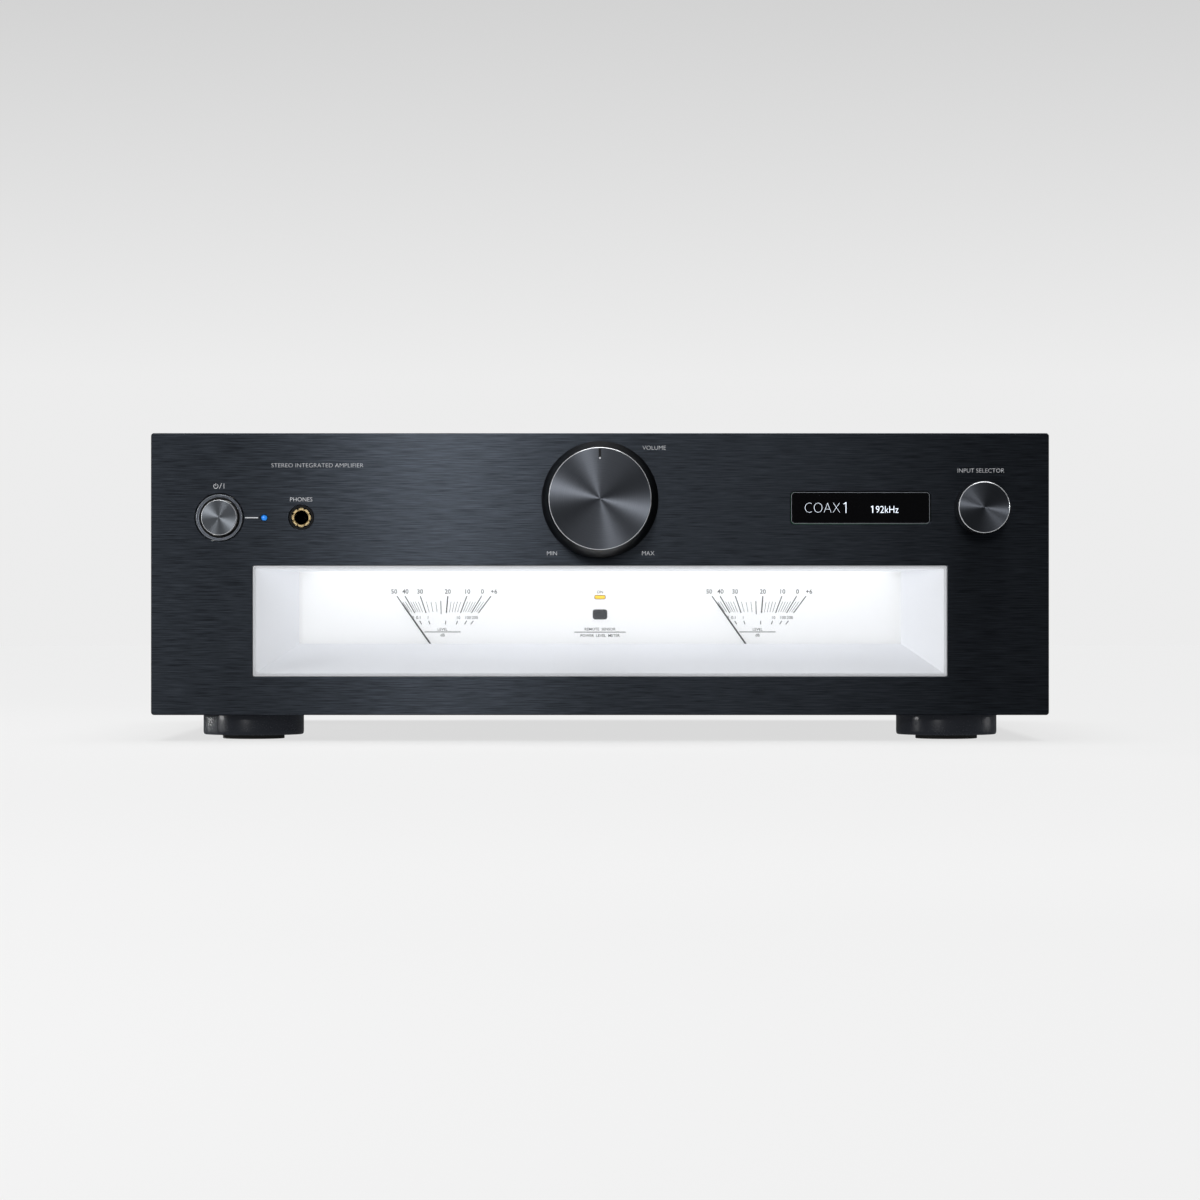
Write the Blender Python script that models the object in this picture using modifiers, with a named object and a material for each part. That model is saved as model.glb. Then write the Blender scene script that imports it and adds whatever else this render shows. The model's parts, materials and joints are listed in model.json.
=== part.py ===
"""Integrated amplifier with two level meters, modelled as separate parts.

Metres, +Z up. The front faces -Y and +X is the object's right as the listener sees it. The
origin is under the middle of the object, on the surface that it stands on.
"""

import math

import bmesh
import bpy
from mathutils import Matrix, Vector

# Overall sizes
WIDTH = 0.430
DEPTH = 0.428
PANEL_HEIGHT = 0.135
PANEL_THICKNESS = 0.008
PANEL_CORNER = 0.0014
FOOT_CLEARANCE = 0.0122
GAP = 0.0003
SHEET = 0.0012

# Front to back
PANEL_FRONT = -0.190
PANEL_BACK = PANEL_FRONT + PANEL_THICKNESS
KNOB_FRONT = -DEPTH / 2
SUBFRAME_FRONT = PANEL_BACK + GAP
SUBFRAME_BACK = SUBFRAME_FRONT + SHEET
CONTROL_FRONT = SUBFRAME_BACK + GAP
BOARD_FRONT = -0.1501
BOARD_THICKNESS = 0.0016
CONTROL_BACK = BOARD_FRONT - GAP
SCALE_FRONT = -0.158
SCALE_THICKNESS = 0.0015
REAR_FRONT = 0.1900
REAR_BACK = REAR_FRONT + SHEET
TERMINAL_END = DEPTH / 2

# Heights
PANEL_TOP = FOOT_CLEARANCE + PANEL_HEIGHT
COVER_TOP = PANEL_TOP - 0.001
COVER_HALF_WIDTH = 0.2135
BASE_BOTTOM = FOOT_CLEARANCE + GAP

# Meter recess
WINDOW_HALF = 0.1664
WINDOW_LOW = 0.0306
WINDOW_HIGH = 0.0838
SCALE_HALF = 0.1458
SCALE_LOW = 0.0461
SCALE_HIGH = 0.0811
NEEDLE_SLIT = 0.004
SURROUND_WALL = 0.0013
PIVOT_X = 0.0765
PIVOT_Z = 0.0377
NEEDLE_LENGTH = 0.034
NEEDLE_REST = math.radians(-35.0)
NEEDLE_CLEARANCE = 0.0015
SENSOR_PLACE = (0.0, 0.0603)
SENSOR_SIZE = (0.0065, 0.0043)
INDICATOR_PLACE = (0.0, 0.0687)
INDICATOR_SIZE = (0.0048, 0.0015)

# Controls on the panel: place across the panel and height
VOLUME_PLACE = (0.0, 0.1154)
INPUT_PLACE = (0.1823, 0.1113)
POWER_PLACE = (-0.18235, 0.1068)
PHONES_PLACE = (-0.1431, 0.1068)
LAMP_PLACE = (-0.1609, 0.1067)
LAMP_RADIUS = 0.0012
DISPLAY_PLACE = (0.12475, 0.1114)
DISPLAY_SIZE = (0.0663, 0.0150)
DISPLAY_CORNER = 0.0017
SHAFT_RADIUS = 0.0030
SHAFT_BORE = 0.0031
BUSHING_RADIUS = 0.0044
KNOB_HUB_BORE = SHAFT_RADIUS + GAP
VOLUME_CAP_RADIUS = 0.0243
VOLUME_BASE_RADIUS = 0.0280
INPUT_RADIUS = 0.01255
POWER_RADIUS = 0.00845
RING_INNER = 0.00895
RING_OUTER = 0.01125
POWER_STEM = 0.0025
JACK_NOSE = 0.00585
JACK_BORE = 0.0033

# Feet
FRONT_FOOT_X = 0.1687
REAR_FOOT_X = 0.1876
FOOT_Y = 0.150
FOOT_RADIUS = 0.0244
PAD_RADIUS = 0.0150
PAD_HEIGHT = 0.0033
FOOT_BOTTOM = 0.0020

# Rear connectors
POST_X = (-0.057, -0.019, 0.019, 0.057)
POST_Z = 0.050
POST_RADIUS = 0.0085
TERMINAL_BOARD_BACK = REAR_BACK + GAP + 0.003
RCA_PITCH_X = 0.021
RCA_PITCH_Z = 0.021
RCA_COLUMNS = 5
RCA_CENTRE = (0.147, 0.110)
RCA_RADIUS = 0.00415
INLET_PLACE = (-0.165, 0.060)
INLET_BODY_HALF = (0.0138, 0.0100)
DIGITAL_CENTRE = (0.061, 0.110)
OPTICAL_PLACE = (0.061, 0.120)
OPTICAL_OPENING = 0.0092
COAX_PLACE = (0.061, 0.100)
USB_PLACE = (0.020, 0.110)

FRONT = Matrix.Rotation(math.radians(90), 4, "X")
REAR = Matrix.Rotation(math.radians(-90), 4, "X")
UPRIGHT = Matrix.Identity(4)
ROUND_STEPS = 28


def clear_scene():
    """Remove every object that is in the file."""
    for obj in list(bpy.data.objects):
        bpy.data.objects.remove(obj, do_unlink=True)


def new_collection(name):
    """Make a collection under the scene's own."""
    collection = bpy.data.collections.new(name)
    bpy.context.scene.collection.children.link(collection)
    return collection


clear_scene()
PARTS = new_collection("integrated_amplifier")
CUTTERS = new_collection("cutters")


def material(name, color, roughness, metallic=0.0, alpha=1.0):
    """Make a plain material with a colour, a roughness and a metallic value."""
    made = bpy.data.materials.new(name)
    made.use_nodes = True
    shader = made.node_tree.nodes["Principled BSDF"]
    shader.inputs["Base Color"].default_value = (*color, 1.0)
    shader.inputs["Roughness"].default_value = roughness
    shader.inputs["Metallic"].default_value = metallic
    shader.inputs["Alpha"].default_value = alpha
    return made


BLACK_ALUMINIUM = material("black_brushed_aluminium", (0.035, 0.039, 0.046), 0.38, 1.0)
SPUN_ALUMINIUM = material("spun_dark_aluminium", (0.10, 0.11, 0.13), 0.30, 1.0)
SATIN_ALUMINIUM = material("satin_aluminium", (0.36, 0.37, 0.40), 0.42, 1.0)
KNOB_BLACK = material("black_knob", (0.010, 0.011, 0.013), 0.35)
BLACK_PAINT = material("black_painted_steel", (0.020, 0.020, 0.022), 0.55)
BARE_STEEL = material("zinc_plated_steel", (0.55, 0.55, 0.54), 0.40, 1.0)
SHAFT_STEEL = material("steel_shaft", (0.60, 0.60, 0.60), 0.25, 1.0)
WHITE_PLASTIC = material("white_plastic", (0.83, 0.84, 0.86), 0.50)
CLEAR_PLASTIC = material("clear_window", (0.95, 0.97, 1.0), 0.05, 0.0, 0.15)
SMOKED_GLASS = material("black_glass", (0.004, 0.004, 0.005), 0.06)
BLACK_PLASTIC = material("black_plastic", (0.018, 0.018, 0.019), 0.45)
SENSOR_PLASTIC = material("smoked_sensor", (0.022, 0.026, 0.034), 0.15)
YELLOW_LENS = material("yellow_lens", (0.92, 0.62, 0.03), 0.35)
BLUE_LENS = material("blue_lens", (0.05, 0.30, 0.85), 0.20)
GOLD = material("gold_plating", (0.80, 0.58, 0.25), 0.22, 1.0)
BOARD_GREEN = material("circuit_board", (0.02, 0.13, 0.06), 0.50)
RUBBER = material("black_rubber", (0.012, 0.012, 0.012), 0.80)
FOOT_PLASTIC = material("foot_plastic", (0.016, 0.018, 0.024), 0.30)
COPPER_BAND = material("transformer_wrap", (0.45, 0.20, 0.07), 0.45)
CAPACITOR_SLEEVE = material("capacitor_sleeve", (0.02, 0.03, 0.09), 0.35)
SINK_ALUMINIUM = material("heat_sink_aluminium", (0.05, 0.05, 0.055), 0.50, 1.0)
RIBBON_GREY = material("ribbon_grey", (0.45, 0.46, 0.48), 0.55)
SPRING_STEEL = material("spring_steel", (0.62, 0.62, 0.63), 0.25, 1.0)


def register(obj, finish, collection=PARTS):
    """Put an object in its collection with its material."""
    collection.objects.link(obj)
    if finish:
        obj.data.materials.clear()
        obj.data.materials.append(finish)
    return obj


def from_bmesh(name, work, finish, collection=PARTS):
    """Turn a bmesh into a named object."""
    mesh = bpy.data.meshes.new(name)
    work.to_mesh(mesh)
    work.free()
    return register(bpy.data.objects.new(name, mesh), finish, collection)


def smooth(obj, degrees=35.0):
    """Shade round faces smooth and keep real edges sharp."""
    obj.data.shade_smooth()
    obj.data.set_sharp_from_angle(angle=math.radians(degrees))
    return obj


def block(name, low, high, finish, collection=PARTS):
    """Make a box between two corners."""
    low = Vector(low)
    high = Vector(high)
    work = bmesh.new()
    bmesh.ops.create_cube(work, size=1.0)
    size = high - low
    bmesh.ops.scale(work, vec=size, verts=work.verts)
    bmesh.ops.translate(work, vec=(low + high) / 2, verts=work.verts)
    return from_bmesh(name, work, finish, collection)


def drum(name, radius, length, place, facing, finish, steps=ROUND_STEPS, collection=PARTS):
    """Make a cylinder that starts at place and runs along facing's local +Z."""
    work = bmesh.new()
    bmesh.ops.create_cone(
        work, cap_ends=True, segments=steps, radius1=radius, radius2=radius, depth=length
    )
    bmesh.ops.translate(work, vec=(0, 0, length / 2), verts=work.verts)
    obj = smooth(from_bmesh(name, work, finish, collection))
    obj.matrix_world = Matrix.Translation(place) @ facing
    return obj


def turned(name, profile, place, facing, finish, closed=False, steps=ROUND_STEPS):
    """Turn a profile of (radius, height) pairs, listed down its outer side, about local Z."""
    mesh = bpy.data.meshes.new(name)
    points = [(radius, 0.0, height) for radius, height in profile]
    edges = [(i, i + 1) for i in range(len(points) - 1)]
    if closed:
        edges.append((len(points) - 1, 0))
    mesh.from_pydata(points, edges, [])
    obj = register(bpy.data.objects.new(name, mesh), finish)
    screw = obj.modifiers.new("turn", "SCREW")
    screw.axis = "Z"
    screw.steps = steps
    screw.render_steps = steps
    screw.use_merge_vertices = True
    screw.merge_threshold = 0.00001
    screw.use_smooth_shade = True
    obj.matrix_world = Matrix.Translation(place) @ facing
    return obj


def circle(place, radius, steps=ROUND_STEPS):
    """List the points of a circle for a flat outline."""
    return [
        (
            place[0] + radius * math.cos(2 * math.pi * i / steps),
            place[1] + radius * math.sin(2 * math.pi * i / steps),
        )
        for i in range(steps)
    ]


def rounded_rectangle(centre, size, radius, corner_steps=4):
    """List the points of a rectangle with round corners for a flat outline."""
    points = []
    half_x = size[0] / 2 - radius
    half_y = size[1] / 2 - radius
    for quarter, (sign_x, sign_y) in enumerate(((1, 1), (-1, 1), (-1, -1), (1, -1))):
        for step in range(corner_steps + 1):
            angle = (quarter + step / corner_steps) * math.pi / 2
            points.append(
                (
                    centre[0] + sign_x * half_x + radius * math.cos(angle),
                    centre[1] + sign_y * half_y + radius * math.sin(angle),
                )
            )
    return points


def rectangle(low, high):
    """List the corners of a plain rectangle for a flat outline."""
    return [(high[0], high[1]), (low[0], high[1]), (low[0], low[1]), (high[0], low[1])]


def curve_to_mesh(obj, finish):
    """Replace a curve object with its evaluated mesh, its caps welded on."""
    graph = bpy.context.evaluated_depsgraph_get()
    graph.update()
    mesh = bpy.data.meshes.new_from_object(obj.evaluated_get(graph))
    work = bmesh.new()
    work.from_mesh(mesh)
    bmesh.ops.remove_doubles(work, verts=work.verts, dist=0.000002)
    bmesh.ops.recalc_face_normals(work, faces=work.faces)
    work.to_mesh(mesh)
    work.free()
    name = obj.name
    matrix = obj.matrix_world.copy()
    bpy.data.objects.remove(obj, do_unlink=True)
    mesh.name = name
    solid = register(bpy.data.objects.new(name, mesh), finish)
    solid.matrix_world = matrix
    return solid


def flat_part(name, outlines, front, thickness, finish):
    """Cut a flat part from sheet: the first outline is its edge, the others are holes.

    The outlines lie in the upright plane, as places across and heights, and the sheet runs
    back from front.
    """
    curve = bpy.data.curves.new(name, "CURVE")
    curve.dimensions = "2D"
    curve.fill_mode = "BOTH"
    curve.extrude = thickness / 2
    for outline in outlines:
        spline = curve.splines.new("POLY")
        spline.points.add(len(outline) - 1)
        for point, (across, height) in zip(spline.points, outline):
            point.co = (across, height, 0.0, 1.0)
        spline.use_cyclic_u = True
    obj = bpy.data.objects.new(name, curve)
    PARTS.objects.link(obj)
    obj.matrix_world = Matrix.Translation((0, front + thickness / 2, 0)) @ FRONT
    return curve_to_mesh(obj, finish)


def framed_loft(name, rings, finish):
    """Join rectangular rings (y, half width, low, high) into one closed frame."""
    work = bmesh.new()
    loops = []
    for y, half, low, high in rings:
        corners = ((-half, low), (half, low), (half, high), (-half, high))
        loops.append([work.verts.new((x, y, z)) for x, z in corners])
    for ring, following in zip(loops, loops[1:] + loops[:1]):
        for i in range(4):
            j = (i + 1) % 4
            work.faces.new((ring[i], ring[j], following[j], following[i]))
    bmesh.ops.recalc_face_normals(work, faces=work.faces)
    return from_bmesh(name, work, finish)


def hide_cutter(cutter):
    """Keep a cutting shape out of renders and of the built parts."""
    for collection in list(cutter.users_collection):
        collection.objects.unlink(cutter)
    CUTTERS.objects.link(cutter)
    cutter.hide_render = True
    cutter.display_type = "WIRE"
    return cutter


def combine(obj, other, operation):
    """Cut an object with another, or join the other to it."""
    hide_cutter(other)
    step = obj.modifiers.new(other.name, "BOOLEAN")
    step.operation = operation
    step.solver = "EXACT"
    step.object = other
    return obj


def cut(obj, *cutters):
    """Cut an object with each of the shapes given."""
    for cutter in cutters:
        combine(obj, cutter, "DIFFERENCE")
    return obj


def join(obj, *others):
    """Join each of the shapes given to an object."""
    for other in others:
        combine(obj, other, "UNION")
    return obj


def panel_point(place, y):
    """Give the world point at a place on the panel and a depth."""
    return Vector((place[0], y, place[1]))


# Front panel and what it carries


def make_front_panel():
    """Cut the front panel with its openings."""
    middle = (0.0, FOOT_CLEARANCE + PANEL_HEIGHT / 2)
    display = (DISPLAY_SIZE[0] + 2 * GAP, DISPLAY_SIZE[1] + 2 * GAP)
    window = rounded_rectangle(
        (0.0, (WINDOW_LOW + WINDOW_HIGH) / 2),
        (2 * WINDOW_HALF, WINDOW_HIGH - WINDOW_LOW),
        0.0006,
        2,
    )
    outlines = [
        rounded_rectangle(middle, (WIDTH, PANEL_HEIGHT), PANEL_CORNER, 5),
        window,
        circle(VOLUME_PLACE, BUSHING_RADIUS + GAP),
        circle(INPUT_PLACE, BUSHING_RADIUS + GAP),
        circle(POWER_PLACE, RING_OUTER + GAP, 36),
        circle(PHONES_PLACE, JACK_NOSE + GAP),
        circle(LAMP_PLACE, LAMP_RADIUS + GAP, 20),
        rounded_rectangle(DISPLAY_PLACE, display, DISPLAY_CORNER + GAP),
    ]
    flat_part("front_panel", outlines, PANEL_FRONT, PANEL_THICKNESS, BLACK_ALUMINIUM)


def make_subframe():
    """Cut the steel plate that stands behind the panel."""
    edge = rectangle((-0.2105, 0.0255), (0.2105, 0.1435))
    window = rectangle((-WINDOW_HALF, WINDOW_LOW), (WINDOW_HALF, WINDOW_HIGH))
    display = (DISPLAY_SIZE[0] + 2 * GAP, DISPLAY_SIZE[1] + 2 * GAP)
    outlines = [
        edge,
        window,
        circle(VOLUME_PLACE, BUSHING_RADIUS + GAP),
        circle(INPUT_PLACE, BUSHING_RADIUS + GAP),
        circle(POWER_PLACE, 0.0072),
        circle(PHONES_PLACE, JACK_NOSE + GAP),
        circle(LAMP_PLACE, LAMP_RADIUS + GAP, 20),
        rounded_rectangle(DISPLAY_PLACE, display, DISPLAY_CORNER + GAP),
    ]
    flat_part("front_subframe", outlines, SUBFRAME_FRONT, SHEET, BARE_STEEL)


def make_meter_recess():
    """Make the white surround, its window, the scale plate and the lamp bar."""
    mouth = PANEL_FRONT + 0.0027
    flange = SUBFRAME_BACK + GAP
    back = SCALE_FRONT - NEEDLE_SLIT
    wall = SURROUND_WALL
    outer_low = WINDOW_LOW + GAP
    outer_high = WINDOW_HIGH - GAP
    outer_half = WINDOW_HALF - GAP
    rings = [
        (mouth, outer_half - wall, outer_low + wall, outer_high - wall),
        (back, SCALE_HALF, SCALE_LOW, SCALE_HIGH),
        (back, SCALE_HALF + wall, SCALE_LOW - wall, SCALE_HIGH + wall),
        (flange + wall, outer_half + wall / 4, outer_low - wall / 4, outer_high + wall / 4),
        (flange + wall, outer_half + 0.004, outer_low - 0.004, outer_high + 0.004),
        (flange, outer_half + 0.004, outer_low - 0.004, outer_high + 0.004),
        (flange, outer_half, outer_low, outer_high),
        (mouth, outer_half, outer_low, outer_high),
    ]
    framed_loft("meter_surround", rings, WHITE_PLASTIC)
    window = rounded_rectangle(
        (0.0, (WINDOW_LOW + WINDOW_HIGH) / 2),
        (2 * (WINDOW_HALF - GAP), WINDOW_HIGH - WINDOW_LOW - 2 * GAP),
        0.0004,
        1,
    )
    flat_part("meter_window", [window], PANEL_FRONT + 0.0004, 0.0020, CLEAR_PLASTIC)
    outlines = [
        rectangle((-0.155, 0.0270), (0.155, 0.0880)),
        circle((-PIVOT_X, PIVOT_Z), 0.0025, 16),
        circle((PIVOT_X, PIVOT_Z), 0.0025, 16),
        rounded_rectangle(SENSOR_PLACE, [side + 2 * GAP for side in SENSOR_SIZE], 0.0012, 3),
        rounded_rectangle(INDICATOR_PLACE, [side + 2 * GAP for side in INDICATOR_SIZE], 0.0006, 2),
    ]
    flat_part("scale_plate", outlines, SCALE_FRONT, SCALE_THICKNESS, WHITE_PLASTIC)
    sensor = [rounded_rectangle(SENSOR_PLACE, SENSOR_SIZE, 0.0010, 3)]
    flat_part("remote_sensor", sensor, SCALE_FRONT - 0.0008, 0.0058, SENSOR_PLASTIC)
    indicator = [rounded_rectangle(INDICATOR_PLACE, INDICATOR_SIZE, 0.0004, 2)]
    flat_part("status_indicator", indicator, SCALE_FRONT - 0.0004, 0.0050, YELLOW_LENS)
    low = (-0.140, SUBFRAME_BACK + 0.0035, SCALE_HIGH + 0.0050)
    high = (0.140, SCALE_FRONT - 0.0015, SCALE_HIGH + 0.0078)
    block("meter_lamp_bar", low, high, WHITE_PLASTIC)


def make_meter(side, sign):
    """Make one meter: its movement behind the scale plate and its needle in front."""
    place = (sign * PIVOT_X, PIVOT_Z)
    movement_front = SCALE_FRONT + SCALE_THICKNESS + GAP
    bore = 0.00135
    movement = [
        (0.0, -0.0110),
        (bore, -0.0110),
        (bore, 0.0),
        (0.0125, 0.0),
        (0.0140, -0.0015),
        (0.0140, -0.0180),
        (0.0, -0.0180),
    ]
    at = panel_point(place, movement_front)
    turned(f"{side}_meter_movement", movement, at, FRONT, BLACK_PLASTIC, steps=20)

    blade_front = SCALE_FRONT - NEEDLE_CLEARANCE - 0.0005
    curve = [
        (-0.00042, -0.0075),
        (0.00042, -0.0075),
        (0.00042, 0.0),
        (0.00026, NEEDLE_LENGTH),
        (-0.00026, NEEDLE_LENGTH),
        (-0.00042, 0.0),
    ]
    needle = flat_part(f"{side}_needle", [curve], 0.0, 0.0005, KNOB_BLACK)
    needle.matrix_world = Matrix.Translation(
        panel_point(place, blade_front + 0.00025)
    ) @ Matrix.Rotation(NEEDLE_REST, 4, "Y") @ FRONT
    spindle_length = 0.0120
    spindle = drum(
        f"{side}_needle_spindle",
        0.0012,
        spindle_length,
        panel_point(place, blade_front - 0.0003),
        REAR,
        None,
        16,
    )
    boss = drum(
        f"{side}_needle_boss",
        0.0021,
        0.0011,
        panel_point(place, blade_front - 0.0003),
        REAR,
        None,
        20,
    )
    tail = Matrix.Rotation(NEEDLE_REST, 4, "Y") @ Vector((0.0, 0.0, -0.0085))
    weight = drum(
        f"{side}_needle_weight",
        0.0024,
        0.0011,
        panel_point(place, blade_front - 0.0003) + tail,
        REAR,
        None,
        20,
    )
    join(needle, spindle, boss, weight)


def make_display():
    """Make the dark display lens and the module behind it."""
    lens = [rounded_rectangle(DISPLAY_PLACE, DISPLAY_SIZE, DISPLAY_CORNER)]
    flat_part("display_window", lens, PANEL_FRONT + 0.0002, 0.0025, SMOKED_GLASS)
    half_x = DISPLAY_SIZE[0] / 2 - 0.0030
    half_z = DISPLAY_SIZE[1] / 2 - 0.0010
    low = (DISPLAY_PLACE[0] - half_x, PANEL_FRONT + 0.0030, DISPLAY_PLACE[1] - half_z)
    high = (DISPLAY_PLACE[0] + half_x, CONTROL_BACK, DISPLAY_PLACE[1] + half_z)
    block("display_module", low, high, BLACK_PLASTIC)


def knob_body(name, place, outline, wall, reach):
    """Turn a hollow knob with a hub for its shaft.

    outline runs from the middle of the seat under the cap out to the foot of the skirt.
    """
    foot_radius, foot_height = outline[-1]
    seat = outline[0][1]
    hub = 0.0062
    inner_top = seat - 0.0025
    inside = [
        (foot_radius - wall, foot_height),
        (outline[1][0] - wall, inner_top),
        (hub, inner_top),
        (hub, 0.0035),
        (KNOB_HUB_BORE, 0.0035),
        (KNOB_HUB_BORE, reach),
        (0.0, reach),
    ]
    at = panel_point(place, PANEL_FRONT)
    return turned(name, outline + inside, at, FRONT, KNOB_BLACK, steps=32)


def knob_cap(name, place, radius, thickness, front, chamfer):
    """Turn the spun metal disc that is set on a knob's front."""
    profile = [
        (0.0, front),
        (radius - chamfer, front),
        (radius, front - chamfer),
        (radius, front - thickness),
        (0.0, front - thickness),
    ]
    at = panel_point(place, PANEL_FRONT)
    return turned(name, profile, at, FRONT, SPUN_ALUMINIUM, steps=36)


def knob_shaft(name, place, reach, tail):
    """Turn a knob's shaft, from inside the knob to inside its control."""
    length = reach + tail
    at = panel_point(place, PANEL_FRONT - reach)
    drum(name, SHAFT_RADIUS, length, at, REAR, SHAFT_STEEL, 24)


def control_body(name, place, half):
    """Make a control: a box on the board with a threaded bushing that reaches the panel."""
    low = (place[0] - half, CONTROL_FRONT, place[1] - half)
    high = (place[0] + half, CONTROL_BACK, place[1] + half)
    body = block(name, low, high, BARE_STEEL)
    bushing_front = PANEL_FRONT + 0.0055
    bushing = drum(
        f"{name}_bushing",
        BUSHING_RADIUS,
        CONTROL_FRONT - bushing_front + 0.004,
        panel_point(place, bushing_front),
        REAR,
        None,
        32,
    )
    bore = drum(
        f"{name}_bore", SHAFT_BORE, 0.0205, panel_point(place, bushing_front - 0.001), REAR,
        None, 32,
    )
    join(body, bushing)
    cut(body, bore)


def make_volume():
    """Make the volume knob, its cap, its shaft and its control."""
    front = PANEL_FRONT - KNOB_FRONT
    seat = front - 0.0018
    foot = 0.0010
    outline = [(0.0, seat), (VOLUME_CAP_RADIUS, seat)]
    flare_steps = 5
    for step in range(1, flare_steps + 1):
        part = step / flare_steps
        radius = VOLUME_CAP_RADIUS + (VOLUME_BASE_RADIUS - VOLUME_CAP_RADIUS) * part
        height = seat + (foot + 0.0010 - seat) * math.sin(part * math.pi / 2)
        outline.append((radius, height))
    outline.append((VOLUME_BASE_RADIUS, foot))
    knob_body("volume_knob", VOLUME_PLACE, outline, 0.0022, 0.0185)
    cap = knob_cap("volume_knob_cap", VOLUME_PLACE, VOLUME_CAP_RADIUS, 0.0015, front, 0.0004)
    notch_length = 0.0057
    top = VOLUME_PLACE[1] + VOLUME_CAP_RADIUS
    low = (-0.0006, KNOB_FRONT - 0.002, top - notch_length)
    high = (0.0006, KNOB_FRONT + 0.0006, top + 0.002)
    cut(cap, block("pointer_notch", low, high, None))
    knob_shaft("volume_shaft", VOLUME_PLACE, 0.0180, 0.0235)
    control_body("volume_control", VOLUME_PLACE, 0.0130)


def make_input_selector():
    """Make the input selector knob, its cap, its shaft and its encoder."""
    front = 0.0220
    seat = front - 0.0013
    outline = [
        (0.0, seat),
        (INPUT_RADIUS - 0.0004, seat),
        (INPUT_RADIUS, seat - 0.0004),
        (INPUT_RADIUS, 0.0010),
    ]
    knob_body("input_knob", INPUT_PLACE, outline, 0.0018, 0.0165)
    knob_cap("input_knob_cap", INPUT_PLACE, INPUT_RADIUS - 0.0004, 0.0010, front, 0.0004)
    knob_shaft("input_shaft", INPUT_PLACE, 0.0160, 0.0215)
    control_body("input_encoder", INPUT_PLACE, 0.0080)


def make_power_button():
    """Make the dished ring, the button, its return spring and its switch."""
    at = panel_point(POWER_PLACE, PANEL_FRONT)
    ring = [
        (RING_OUTER - 0.0003, 0.0),
        (RING_OUTER, -0.0003),
        (RING_OUTER, -0.0075),
        (RING_INNER, -0.0075),
        (RING_INNER, -0.0016),
        (RING_INNER + 0.0009, -0.0012),
        (RING_INNER + 0.0017, -0.0004),
    ]
    turned("power_button_ring", ring, at, FRONT, SATIN_ALUMINIUM, closed=True, steps=36)
    face = 0.0024
    back = -0.0056
    stem_end = -0.0245
    button = [
        (0.0, face),
        (POWER_RADIUS - 0.0004, face),
        (POWER_RADIUS, face - 0.0004),
        (POWER_RADIUS, back),
        (POWER_STEM, back),
        (POWER_STEM, stem_end),
        (0.0, stem_end),
    ]
    turned("power_button", button, at, FRONT, SPUN_ALUMINIUM, steps=32)
    half = 0.0075
    switch_front = PANEL_FRONT + 0.0200
    low = (POWER_PLACE[0] - half, switch_front, POWER_PLACE[1] - half)
    high = (POWER_PLACE[0] + half, CONTROL_BACK, POWER_PLACE[1] + half)
    switch = block("power_switch", low, high, BLACK_PLASTIC)
    bore_start = panel_point(POWER_PLACE, switch_front - 0.001)
    bore = drum("switch_bore", POWER_STEM + GAP, 0.0095, bore_start, REAR, None, 32)
    cut(switch, bore)
    make_button_spring(PANEL_FRONT - back + GAP, switch_front - GAP)


def make_button_spring(start, end):
    """Wind the return spring round the button's stem."""
    wire = 0.0003
    radius = 0.0040
    turns = 4
    points_per_turn = 9
    count = turns * points_per_turn
    run = end - start - 2 * wire
    curve = bpy.data.curves.new("power_button_spring", "CURVE")
    curve.dimensions = "3D"
    curve.bevel_depth = wire
    curve.bevel_resolution = 2
    curve.use_fill_caps = True
    spline = curve.splines.new("POLY")
    spline.points.add(count)
    for i, point in enumerate(spline.points):
        angle = 2 * math.pi * i / points_per_turn
        y = start + wire + run * i / count
        x = POWER_PLACE[0] + radius * math.cos(angle)
        z = POWER_PLACE[1] + radius * math.sin(angle)
        point.co = (x, y, z, 1.0)
    obj = bpy.data.objects.new("power_button_spring", curve)
    register(obj, SPRING_STEEL)


def make_standby_lamp():
    """Turn the light pipe that carries the standby lamp through the panel."""
    tip = 0.0006
    end = BOARD_FRONT - GAP
    length = end - PANEL_FRONT
    profile = [(0.0, tip), (0.0007, tip - 0.0002), (LAMP_RADIUS, tip - 0.0008)]
    profile += [(LAMP_RADIUS, -length), (0.0, -length)]
    at = panel_point(LAMP_PLACE, PANEL_FRONT)
    turned("standby_lamp", profile, at, FRONT, BLUE_LENS, steps=20)


def make_phones_jack():
    """Make the phones jack and the notched collar in its mouth."""
    half = 0.0090
    low = (PHONES_PLACE[0] - half, CONTROL_FRONT, PHONES_PLACE[1] - half)
    high = (PHONES_PLACE[0] + half, CONTROL_BACK, PHONES_PLACE[1] + half)
    body = block("phones_jack", low, high, BLACK_PLASTIC)
    nose_front = PANEL_FRONT + 0.0008
    nose_length = CONTROL_FRONT - nose_front + 0.003
    nose = drum(
        "jack_nose", JACK_NOSE, nose_length, panel_point(PHONES_PLACE, nose_front), REAR, None
    )
    seat_length = 0.0045
    seat = drum(
        "jack_seat",
        0.0049,
        seat_length + 0.001,
        panel_point(PHONES_PLACE, nose_front - 0.001),
        REAR,
        None,
    )
    bore = drum(
        "jack_bore",
        JACK_BORE,
        0.0355,
        panel_point(PHONES_PLACE, nose_front - 0.001),
        REAR,
        None,
        16,
    )
    join(body, nose)
    cut(body, seat, bore)
    collar_front = -0.0009
    collar_back = -0.0008 - seat_length + GAP
    collar = [
        (0.0044, collar_front),
        (0.0046, collar_front - 0.0002),
        (0.0046, collar_back),
        (JACK_BORE, collar_back),
        (JACK_BORE, collar_front - 0.0003),
        (JACK_BORE + 0.0002, collar_front),
    ]
    at = panel_point(PHONES_PLACE, PANEL_FRONT)
    turned("phones_jack_collar", collar, at, FRONT, GOLD, closed=True, steps=28)


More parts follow.
